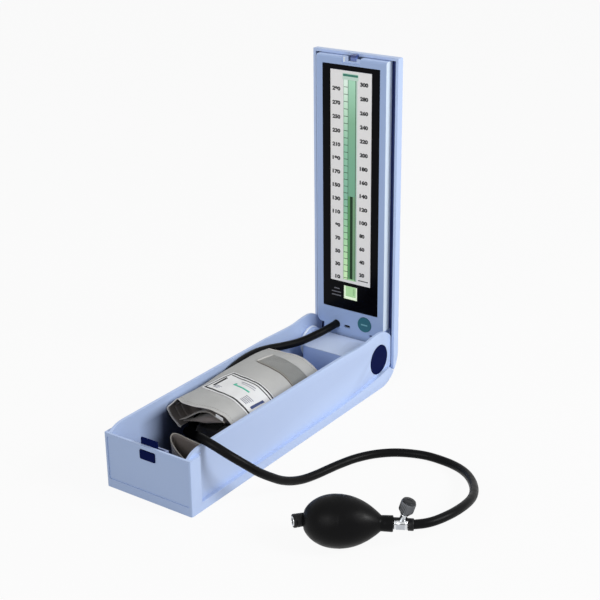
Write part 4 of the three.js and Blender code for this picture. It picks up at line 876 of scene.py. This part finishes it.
def add_screen():
    front = GLASS_Y - 0.12
    middle = GLASS_Y - 0.06
    back = GLASS_Y + 0.02
    heights = [scale_z(n) + TICK_DRIFT * max(n - 200, 0) for n in range(10, 300, 10)]
    for name, finish, y0, y1, *boxes in (
        ("lcd_tick_field", "tick_green", middle, back, (-9.2, -4.3, *LCD_ENDS)),
        ("lcd_ticks", "print_bar", front, middle,
         *((-9.2, -4.3, z - 0.3, z + 0.3) for z in heights)),
        ("lcd_rules", "print_bar", front, back, (-4.3, -3.9, *LCD_ENDS), (5.2, 5.9, *LCD_ENDS)),
        ("lcd_margin", "print_mint", middle, back, (5.9, 8.0, *LCD_ENDS)),
        ("lcd_column", "print_bar", front, back, (-1.3, 2.1, *COLUMN_ENDS)),
        ("lcd_field_left", "print_mid", middle, back, (-3.9, -1.3, *COLUMN_ENDS)),
        ("lcd_field_right", "print_soft", middle, back, (2.1, 5.2, *COLUMN_ENDS)),
        ("readout_border", "print_lime", middle, back, (-8.8, 8.5, 53.2, 70.3)),
        ("readout_field", "print_field", front, middle, (-6.6, 6.6, 56.4, 68.4)),
        ("readout_digit", "print_digit", front - 0.05, front,
         (3.0, 4.0, 58.6, 66.4), (5.0, 5.6, 58.6, 66.4)),
    ):
        bars(name, "screen_green", finish, y0, y1, *boxes)


add_numbers()
add_lid_marks()
add_screen()

# Cuff: forms in millimetres, y from the hinge axis and z from the table

WRAP_FAR = -84.0
WRAP_NEAR = -237.5
WRAP_MIDDLE = 0.75
WRAP_HALF = 42.25
WRAP_RIGHT = 43.6
TOP_RIGHT = 42.2
RIDGE_X = -36.4
RIDGE = ((-240, 60.0), (-226, 59.8), (-212, 59.2), (-196, 59.2), (-176, 60.6), (-160, 61.4),
         (-126, 61.4), (-100, 60.6), (-86, 59.4), (-70, 58.6))
NEAR_EDGE = (
    (-48, -243.5), (-44, -242.5), (-40, -238.5), (-36.4, -235.6), (-32.6, -235), (-27, -238.6),
    (-14.9, -240.4), (2.4, -237.6), (13.1, -237.6), (22.5, -235.3), (31.3, -236.3), (44, -239),
)
FAR_EDGE = (
    (-45, -90), (-36.4, -89), (-25, -84.4), (-6, -82.2), (4, -82.2), (18, -85.4), (30, -88.4),
    (44, -90.8),
)


def smoothstep(value, low, high):
    t = np.clip((value - low) / (high - low), 0, 1)
    return t * t * (3 - 2 * t)


def creases(x, y):
    """Soft unevenness of the folded cloth."""
    return (
        0.35 * np.sin(0.11 * y + 0.06 * x + 0.7) * np.sin(0.083 * x + 1.1)
        + 0.22 * np.sin(0.21 * y - 0.13 * x + 2.1)
        + 0.12 * np.sin(0.43 * x + 0.17 * y)
    )


def wrap_top(x, y):
    """Height of the cuff's upper surface: a crown with a sharp raised fold along its left."""
    run = -61 - y
    shoulder = 48 + 6 * smoothstep(run, -5, 27) + 3.5 * smoothstep(run, 19, 74)
    u = np.clip((x - WRAP_MIDDLE) / WRAP_HALF, -1, 1)
    droop = 15 * (np.maximum(u - 0.1, 0) / 0.9) ** 2
    flat = 15 * np.maximum(u + 0.15, 0) / 1.15 - droop
    droop = droop + 0.36 * flat * smoothstep(y, -136, -92)
    plain = shoulder + 3.6 * (1 - u * u) - droop
    share = np.clip((-12 - x) / (-12 - RIDGE_X), 0, 1.2) ** 2
    edge = (RIDGE_X - WRAP_MIDDLE) / WRAP_HALF
    lift = np.interp(y, *zip(*RIDGE)) - (shoulder + 3.6 * (1 - edge * edge))
    dip = 1.9 * np.exp(-((x + 28.5) / 4.5) ** 2) * smoothstep(-y, 218, 238)
    return plain + share * lift - dip + creases(x, y) * (1 - 0.7 * share)


def grid_faces(rows, columns, start=0):
    return [
        (a, a + 1, a + 1 + columns, a + columns)
        for a in range(start, start + (rows - 1) * columns) if (a - start + 1) % columns]


def grid_sheet(name, grid, thickness, slot, finish, inside=None):
    """A cloth sheet of even thickness on a grid of points in millimetres."""
    points = placed([p for row in grid for p in row])
    piece = add_mesh(name, points, grid_faces(len(grid), len(grid[0])), slot, finish)
    thick = piece.modifiers.new("thick", "SOLIDIFY")
    thick.thickness = thickness * MM
    if inside:
        piece.data.materials.append(finishes[inside])
        thick.material_offset = 1
    subdivide(piece)
    return piece


def run_of(corners, count):
    """Points along a polyline of (x, z) corners, without the last one."""
    return [tuple(p) for p in resample(corners, count + 1)[:-1]]


def wrap_section(y, inset=0.0):
    """Outline of the wrap at y, from its right foot over the top to its left foot."""
    opened = float(smoothstep(-y, 198, 222))

    def spread(shut, wide):
        return tuple(a + (b - a) * opened for a, b in zip(shut, wide))

    right = WRAP_RIGHT - inset
    foot = 29.0 + inset * 0.4
    ridge_x = RIDGE_X + inset
    ridge = (ridge_x, float(wrap_top(ridge_x, y)) - inset * 0.9)
    cheek = spread((-35.3 + inset, 52.5), (-44.1 + inset, 51.2 - inset * 0.5))
    waist = spread((-35.0 + inset, 39.0), (-41.4 + inset, 38.6))
    hip = spread((-33.6 + inset, foot), (-37.2 + inset * 0.7, foot))
    top = [(x, float(wrap_top(x, y)) - inset) for x in np.linspace(right - 2.2, ridge_x, 25)]
    section = run_of([(right - 1.4, foot), (right, foot + 3), (right, top[0][1] - 3), top[0]], 8)
    section += top[:-1]
    for ends, count in (((ridge, cheek), 6), ((cheek, waist), 5), ((waist, hip), 5)):
        section += run_of(ends, count)
    section += [hip, (hip[0] + 0.7, foot - 0.4), (hip[0] + 1.8, foot - 0.5)]
    return np.array(section)


def wrap_grid(near_shift=0.0, far_shift=0.0, inset=0.0):
    """Rows of the wrap from its far edge to its near one, both cut along their own lines."""
    ts = np.linspace(0, 1, 44)
    ts = ts + 0.06 * np.sin(2 * math.pi * ts) / (2 * math.pi)
    grid = []
    for t in ts:
        y = WRAP_FAR + (WRAP_NEAR - WRAP_FAR) * t
        near = float(smoothstep(t, 0.82, 1))
        far = float(smoothstep(1 - t, 0.82, 1))
        line = []
        for x, z in wrap_section(y, inset):
            dy_near = np.interp(x, *zip(*NEAR_EDGE)) - WRAP_NEAR + near_shift
            dy_near += 2.0 * float(smoothstep(48 - z, 0, 18)) * (x < -30)
            dy_far = np.interp(x, *zip(*FAR_EDGE)) - WRAP_FAR + far_shift
            line.append((x, y + near * dy_near + far * dy_far, z))
        grid.append(line)
    return np.array(grid)


def cuff_sheet(name, grid, thickness, finish="cuff_grey", inside=None):
    slot = "cuff_grey" if finish == "cuff_grey" else "cuff_dark"
    piece = grid_sheet(name, grid, thickness, slot, finish, inside)


def edge_cord(name, line, radius, finish):
    """A thin rounded hem along a line in millimetres."""
    path = placed(resample(curve_points(line, 0.8), max(len(line) * 3, 24)))
    add_solid(name, *tube_mesh(path, radius * MM, 8), "cuff_grey", finish)


STITCH_PITCH = 3.0
STITCH_STEPS = 6
STITCH_REACH = 4
THREAD_RADIUS = 0.17


def stitches(name, *lines):
    """Rows of short threads along lines in millimetres, over part of each pitch's steps."""
    points = []
    faces = []
    for line in lines:
        steps = int(length_of(line) / STITCH_PITCH) * STITCH_STEPS
        spots = placed(resample(line, steps + 1))
        for k in range(0, steps, STITCH_STEPS):
            verts, quads = tube_mesh(spots[k:k + STITCH_REACH + 1], THREAD_RADIUS * MM, 6)
            faces += [tuple(i + len(points) for i in face) for face in quads]
            points += verts
    add_solid(name, points, faces, "cuff_grey", "thread")


def round_box(count, power):
    """Points (u, v), each from -1 to 1, round a box with soft corners."""
    return [
        [math.copysign(abs(w) ** power, w) for w in (math.cos(turn), math.sin(turn))]
        for turn in turns(count)]


def fold_line(corners, step=1.0, count=24):
    return resample(curve_points([(x, 0, z) for x, z in corners], step)[:, [0, 2]], count)


def mouth_y(x):
    return -236.0 - 0.085 * x + 0.6 * math.sin(0.3 * x)


def add_wrap():
    outer = wrap_grid()
    cuff_sheet("cuff_wrap", outer, 1.0, inside="cuff_dark")
    # Light hems along the wrap's edges: part hem, part painted highlight
    for name, row, end, radius in (("cuff_wrap_hem", -1, None, 0.55), ("cuff_far_hem", 0, 33, 0.5)):
        edge_cord(name, outer[row][8:end:2] - (0, 0, 0.4), radius, "cuff_light")
    cuff_sheet("cuff_layer_second", wrap_grid(6, 2.5, 2.0), 0.9, "cuff_dark")
    cuff_sheet("cuff_layer_third", wrap_grid(11, 5, 4.2), 0.9, "cuff_dark")
    for name, row in (("cuff_far_stitches", 1), ("cuff_near_stitches", -2)):
        stitches(name, outer[row][8:33] + (0, 0, 0.1))


def add_core():
    rings = []
    for y, pull in ((-92, 7), (-94, 3), (-99, 0.5), (-110, 0), (-130, 0), (-150, 0), (-170, 0),
                    (-190, 0), (-204, 0.5), (-210, 3), (-212, 7)):
        section = wrap_section(y, 6.6 + pull)
        rings.append([(x, y, max(z, 29.5 + pull)) for x, z in section[::2]])
    cushion("cuff_core", rings, "cuff_grey", "cuff_dark")


def add_upper_fold():
    """Folded layers in the mouth: a hemmed layer with a pillow-like one under it."""
    hem = fold_line([(-37.6, 35.4), (-27.6, 40.7), (-18.4, 47.1), (-8.1, 53.4), (0.8, 56.2),
                     (10.6, 55.4), (19.5, 53.4), (23.5, 51.6)])
    grid = [[(x, mouth_y(x) + d, z - 0.06 * d) for x, z in hem] for d in (0, 1, 3, 6, 12, 18, 24)]
    cuff_sheet("cuff_fold_layer", grid, 0.8, "cuff_fold", "cuff_dark")
    edge_cord("cuff_fold_hem", [(x, mouth_y(x) - 0.2, z - 0.3) for x, z in hem], 0.45, "cuff_hem")
    roof = fold_line([(-33.5, 35.4), (-21.6, 38.6), (-13, 42.8), (-5, 47.2), (4, 49.6),
                      (12, 50.8), (21.8, 51.4)])
    under = fold_line([(-34.0, 34.6), (-21.4, 38.9), (-8.7, 40.5), (3.8, 43.1), (13.9, 47.6),
                       (21.8, 51.0)])
    tip = under * 0.75 + roof * 0.25
    rings = []
    for depth, full in ((0, 0.04), (0.3, 0.2), (0.8, 0.42), (1.6, 0.66), (2.8, 0.86),
                        (4.2, 0.96), (6, 1), (16, 1), (24.5, 1)):
        low = under * full + tip * (1 - full)
        high = roof * full + tip * (1 - full) + np.array([0, 0.3])
        ring = np.vstack([high, low[::-1]])
        rings.append([(x, mouth_y(x) + 0.8 + depth * 0.8, z) for x, z in ring])
    cushion("cuff_inner_fold_upper", rings, "cuff_dark", "cuff_fold")


def add_lower_fold():
    section = fold_line([(4, 29.6), (12, 29.4), (20, 29.4), (28, 29.8), (33, 32.5), (32, 35.6),
                         (24, 34.2), (12, 32.4), (4, 31.4)], 0.8, 40)
    grid = [
        [(x, -226 - 0.085 * x + d + 0.8 * math.sin(0.2 * x), z) for x, z in section]
        for d in np.linspace(0, 14, 8)]
    cuff_sheet("cuff_inner_fold_lower", grid, 0.8, "cuff_shadow")


def add_tag():
    """Small pale sewn tag at the end of the inner fold."""
    grid = []
    for t in np.linspace(0, 1, 4):
        grid.append([
            (13.0 + 9.4 * s, -237.6 - 0.4 * s + 0.2 * math.sin(6 * s) - 0.5 * t,
             58.2 - 2.0 * s - 3.2 * t)
            for s in np.linspace(0, 1, 8)])
    grid_sheet("cuff_tag", grid, 0.5, "cuff_grey", "label_white")


def add_bundle():
    """Lower part of the roll: flattened layers with creased sides."""
    rings = []
    for y in (-217.4, -216.6, -214, -210, -200, -180, -160, -140, -120, -104, -94, -90,
              -87.4, -86.4):
        pull = 3.2 * math.exp(-min(y + 218, -86 - y) / 1.4)
        ring = []
        for u, v in round_box(48, 2 / 7):
            x = 4.65 + (39.55 - pull) * u
            ring.append((x, y, 14.5 + (11.9 - pull) * v + 0.25 * float(creases(x, y))))
        rings.append(ring)
    cushion("cuff_bladder_bundle", rings, "cuff_grey", "cuff_shadow")


add_wrap()
add_core()
add_upper_fold()
add_lower_fold()
add_tag()
add_bundle()

# The tail's top edge: a fold at its left end with two legs to the right
TAIL_EDGE = (
    (40.0, -283.0, 50.2), (30, -284.2, 51.4), (20, -285.4, 53.2), (11, -286.4, 55.2),
    (5.2, -288.0, 56.4), (2.6, -290.6, 56.0), (4.0, -293.6, 54.4), (8.0, -296.8, 51.6),
    (13.0, -299.6, 49.6), (19, -302.4, 48.2), (26, -305.4, 47.2), (33.5, -308.6, 46.6),
)


def add_tail():
    edge = resample(curve_points(TAIL_EDGE, 1.0), 56)
    grid = []
    for t in np.linspace(0, 1, 14):
        line = []
        for (x, y, z), s in zip(edge, np.linspace(0, 1, len(edge))):
            lean = (1 - t) * 2.6 * (1 if s < 0.45 else -1) * math.sin(math.pi * s)
            fold = 0.5 * math.sin(11 * s + 5 * t) * math.sin(math.pi * t)
            line.append((x, y - lean + fold, 3 + (z - 3) * t))
        grid.append(line)
    cuff_sheet("cuff_tail_fold", grid, 1.3, "cuff_tail")
    edge_cord("cuff_tail_hem", edge[::3] + (0, 0, 0.2), 0.55, "cuff_hem")
    stitches("cuff_tail_stitches", edge[28:] - (0, 0.6, 3.2))
    box = round_box(40, 0.45)
    rings = [
        [(23 + (14 - pull) * u, -295.4 - 0.9 * u + (6.5 - pull) * v, z) for u, v in box]
        for z, pull in ((3, 1.5), (4, 0.3), (12, 0), (24, 0.2), (29, 0.8), (31, 2.5), (31.6, 5))]
    cushion("cuff_tail_filling", rings, "cuff_dark", "cuff_shadow")


add_tail()

# Label and patch, draped on the wrap

LABEL_CORNER = (-30.0, -180.6)
LABEL_SKEW = math.radians(-9.2)
LABEL_LENGTH = 72.0
LABEL_HALF = 22.0
PATCH = ((-21.8, -123.8), (42.3, -139.0), (42.3, -112.0), (-20.2, -98.6))


def on_top(x, y, lift):
    return (x, y, float(wrap_top(min(x, TOP_RIGHT), y)) + lift)


def on_label(u, v, lift):
    """A point on the label: u along it from its left end, v across it, towards the hinge."""
    c, s = math.cos(LABEL_SKEW), math.sin(LABEL_SKEW)
    x = LABEL_CORNER[0] + u * c - v * s
    return on_top(min(x, TOP_RIGHT), LABEL_CORNER[1] + u * s + v * c, lift)


def drape(name, finish, patches, lift=0.8, thickness=0.3, place_on=on_label):
    """Thin closed patches that follow the wrap: each is four (u, v) corners in order."""
    points = []
    faces = []
    for corners in patches:
        a, b, c, d = (np.array(q, float) for q in corners)
        across = max(int(np.linalg.norm(b - a) / 1.5), 1)
        along = max(int(np.linalg.norm(d - a) / 1.5), 1)
        start = len(points)
        row = across + 1
        size = row * (along + 1)
        for level in (lift, lift - thickness):
            for t in np.linspace(0, 1, along + 1):
                for s in np.linspace(0, 1, row):
                    q = (a * (1 - s) + b * s) * (1 - t) + (d * (1 - s) + c * s) * t
                    points.append(place(*place_on(*q, level)))
            faces += grid_faces(along + 1, row, len(points) - size)
        rows = [list(range(start + j * row, start + (j + 1) * row)) for j in range(along + 1)]
        rim = rows[0] + [line[-1] for line in rows[1:]]
        rim += rows[-1][-2::-1] + [line[0] for line in rows[-2:0:-1]]
        for p, q in zip(rim, rim[1:] + rim[:1]):
            faces.append((p, p + size, q + size, q))
    add_solid(name, points, faces, "cuff_grey", finish)


def strip(u0, u1, v0, v1):
    return [(u0, v0), (u1, v0), (u1, v1), (u0, v1)]


def add_label():
    long, half = LABEL_LENGTH, LABEL_HALF
    marks = [strip(24, 44, 10.2, 11.2), strip(27, 46, 7.6, 8.2)]
    marks += [strip(9.5, 17.5 - k, v, v + 0.7) for k, v in enumerate((-10.6, -12.6, -14.6))]
    marks += [strip(46.5 + 0.4 * k, 56.5, v, v + 0.9)
              for k, v in enumerate((-5, -7.4, -9.8, -12.2, -14.4))]
    drape("cuff_label", "label_white", [strip(0, long, -half, half)], 0.6, 0.5)
    drape("cuff_label_border", "print_dark", [
        strip(2.4, long, half - 3.6, half - 1.8), strip(5, long, half - 7.2, half - 6.0),
        strip(2.4, long, -half + 1.7, -half + 3.7), strip(2.4, 3.5, -half + 1.7, half - 1.8),
    ], 0.78)
    drape("cuff_label_bar", "print_dark", [[(6.6, -12.3), (9.0, -12.3), (6.7, 8), (4.3, 8)]])
    drape("cuff_label_stroke", "print_green",
          [strip(22, 44.5, 0.6, 2.4), strip(22, 24.5, 0.6, 5)])
    drape("cuff_label_marks", "print_grey", marks)
    drape("cuff_label_bar_right", "print_navy",
          [[(60.6, -13.2), (63.1, -13.2), (60.5, 6.7), (58.0, 6.7)]])


def add_patch():
    near, right, _, far = (np.array(p) for p in PATCH)
    step = np.array((0, 0.9))
    seam = [near - step - (0.6, 0), right - step, right, near - (0.6, 0)]
    side = [near - (2.6, -0.6), near - (0.3, 0), far - (0.3, 0), far - (2.6, -0.6)]
    shadow = [near - (0.4, 1.7), right - (0, 1.7), right - (0, 1.0), near - (0.4, 1.0)]
    drape("cuff_patch", "cuff_patch", [PATCH], 0.7, 0.8, on_top)
    drape("cuff_patch_seam", "cuff_hem", [seam], 0.9, 0.6, on_top)
    drape("cuff_patch_side", "cuff_light", [side], 0.9, 0.8, on_top)
    drape("cuff_patch_shadow", "cuff_dark", [shadow], 0.35, 0.3, on_top)
    corner = near + (1.4, 1.3)
    stitches("cuff_patch_stitches", *(
        [on_top(*(corner + (end - corner) * t), 0.75) for t in np.linspace(0, 1, 40)]
        for end in (right + (0, 1.3), far + (1.4, -1.3))))


add_label()
add_patch()

# Each added cuff piece gets its own copy of its mesh

for piece in list(scene.objects):
    if piece.type == "MESH" and piece.name.startswith("cuff_") and piece.name not in nodes:
        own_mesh(piece)

# Stage: floor, lamps and world

FLOOR_HALF = 6.0
FLOOR_GREY = (0.6, 0.6, 0.6, 1)
FLOOR_LEVEL = -0.0002
FLOOR_ROUGHNESS = 0.9
FLOOR_WHITE_SHARE = 0.93
WORLD_STRENGTH = 0.38
LAMP_AIM = Vector((0, 0, 0.1))


def camera_white(tree, plain, white, share, into):
    """A mix of plain and white, the white for what the camera and mirrors see."""
    rays = add_node(tree, "ShaderNodeLightPath").outputs
    inputs = {0: rays["Is Camera Ray"], 1: rays["Is Glossy Ray"]}
    seen = add_node(tree, "ShaderNodeMath", inputs, operation="MAXIMUM")
    inputs = {0: seen.outputs[0], 1: share}
    amount = add_node(tree, "ShaderNodeMath", inputs, operation="MULTIPLY")
    inputs = {key: made.outputs[0] for key, made in enumerate((amount, plain, white))}
    mix = add_node(tree, "ShaderNodeMixShader", inputs)
    tree.links.new(mix.outputs[0], into.inputs["Surface"])


def add_floor():
    mesh = bpy.data.meshes.new("floor")
    corners = ((-1, -1), (1, -1), (1, 1), (-1, 1))
    mesh.from_pydata([(x * FLOOR_HALF, y * FLOOR_HALF, 0) for x, y in corners], [], [range(4)])
    material = bpy.data.materials.new("floor")
    material.use_nodes = True
    tree = material.node_tree
    shader = tree.nodes["Principled BSDF"]
    shader.inputs["Base Color"].default_value = FLOOR_GREY
    shader.inputs["Roughness"].default_value = FLOOR_ROUGHNESS
    glow = add_node(tree, "ShaderNodeEmission", {"Color": (1, 1, 1, 1), "Strength": 1.0})
    camera_white(tree, shader, glow, FLOOR_WHITE_SHARE, tree.nodes["Material Output"])
    mesh.materials.append(material)
    floor = add_object("floor", mesh)
    floor.location.z = FLOOR_LEVEL


def add_lamp(name, spot, size, power):
    data = bpy.data.lights.new(name, "AREA")
    data.shape = "DISK"
    data.size = size
    data.energy = power
    lamp = add_object(name, data)
    lamp.location = spot
    lamp.rotation_euler = (LAMP_AIM - Vector(spot)).to_track_quat("-Z", "Y").to_euler()


def add_world():
    world = bpy.data.worlds.new("world")
    world.use_nodes = True
    scene.world = world
    tree = world.node_tree
    background = tree.nodes["Background"]
    background.inputs["Color"].default_value = (1, 1, 1, 1)
    background.inputs["Strength"].default_value = WORLD_STRENGTH
    white = add_node(tree, "ShaderNodeBackground", {"Strength": 1.0})
    camera_white(tree, background, white, 1.0, tree.nodes["World Output"])


add_floor()
add_world()
add_lamp("key", (1.95, 0.45, 1.3), 0.9, 33)
add_lamp("fill", (0.2, -2.1, 1.2), 1.4, 18)
scene.view_settings.view_transform = "Standard"
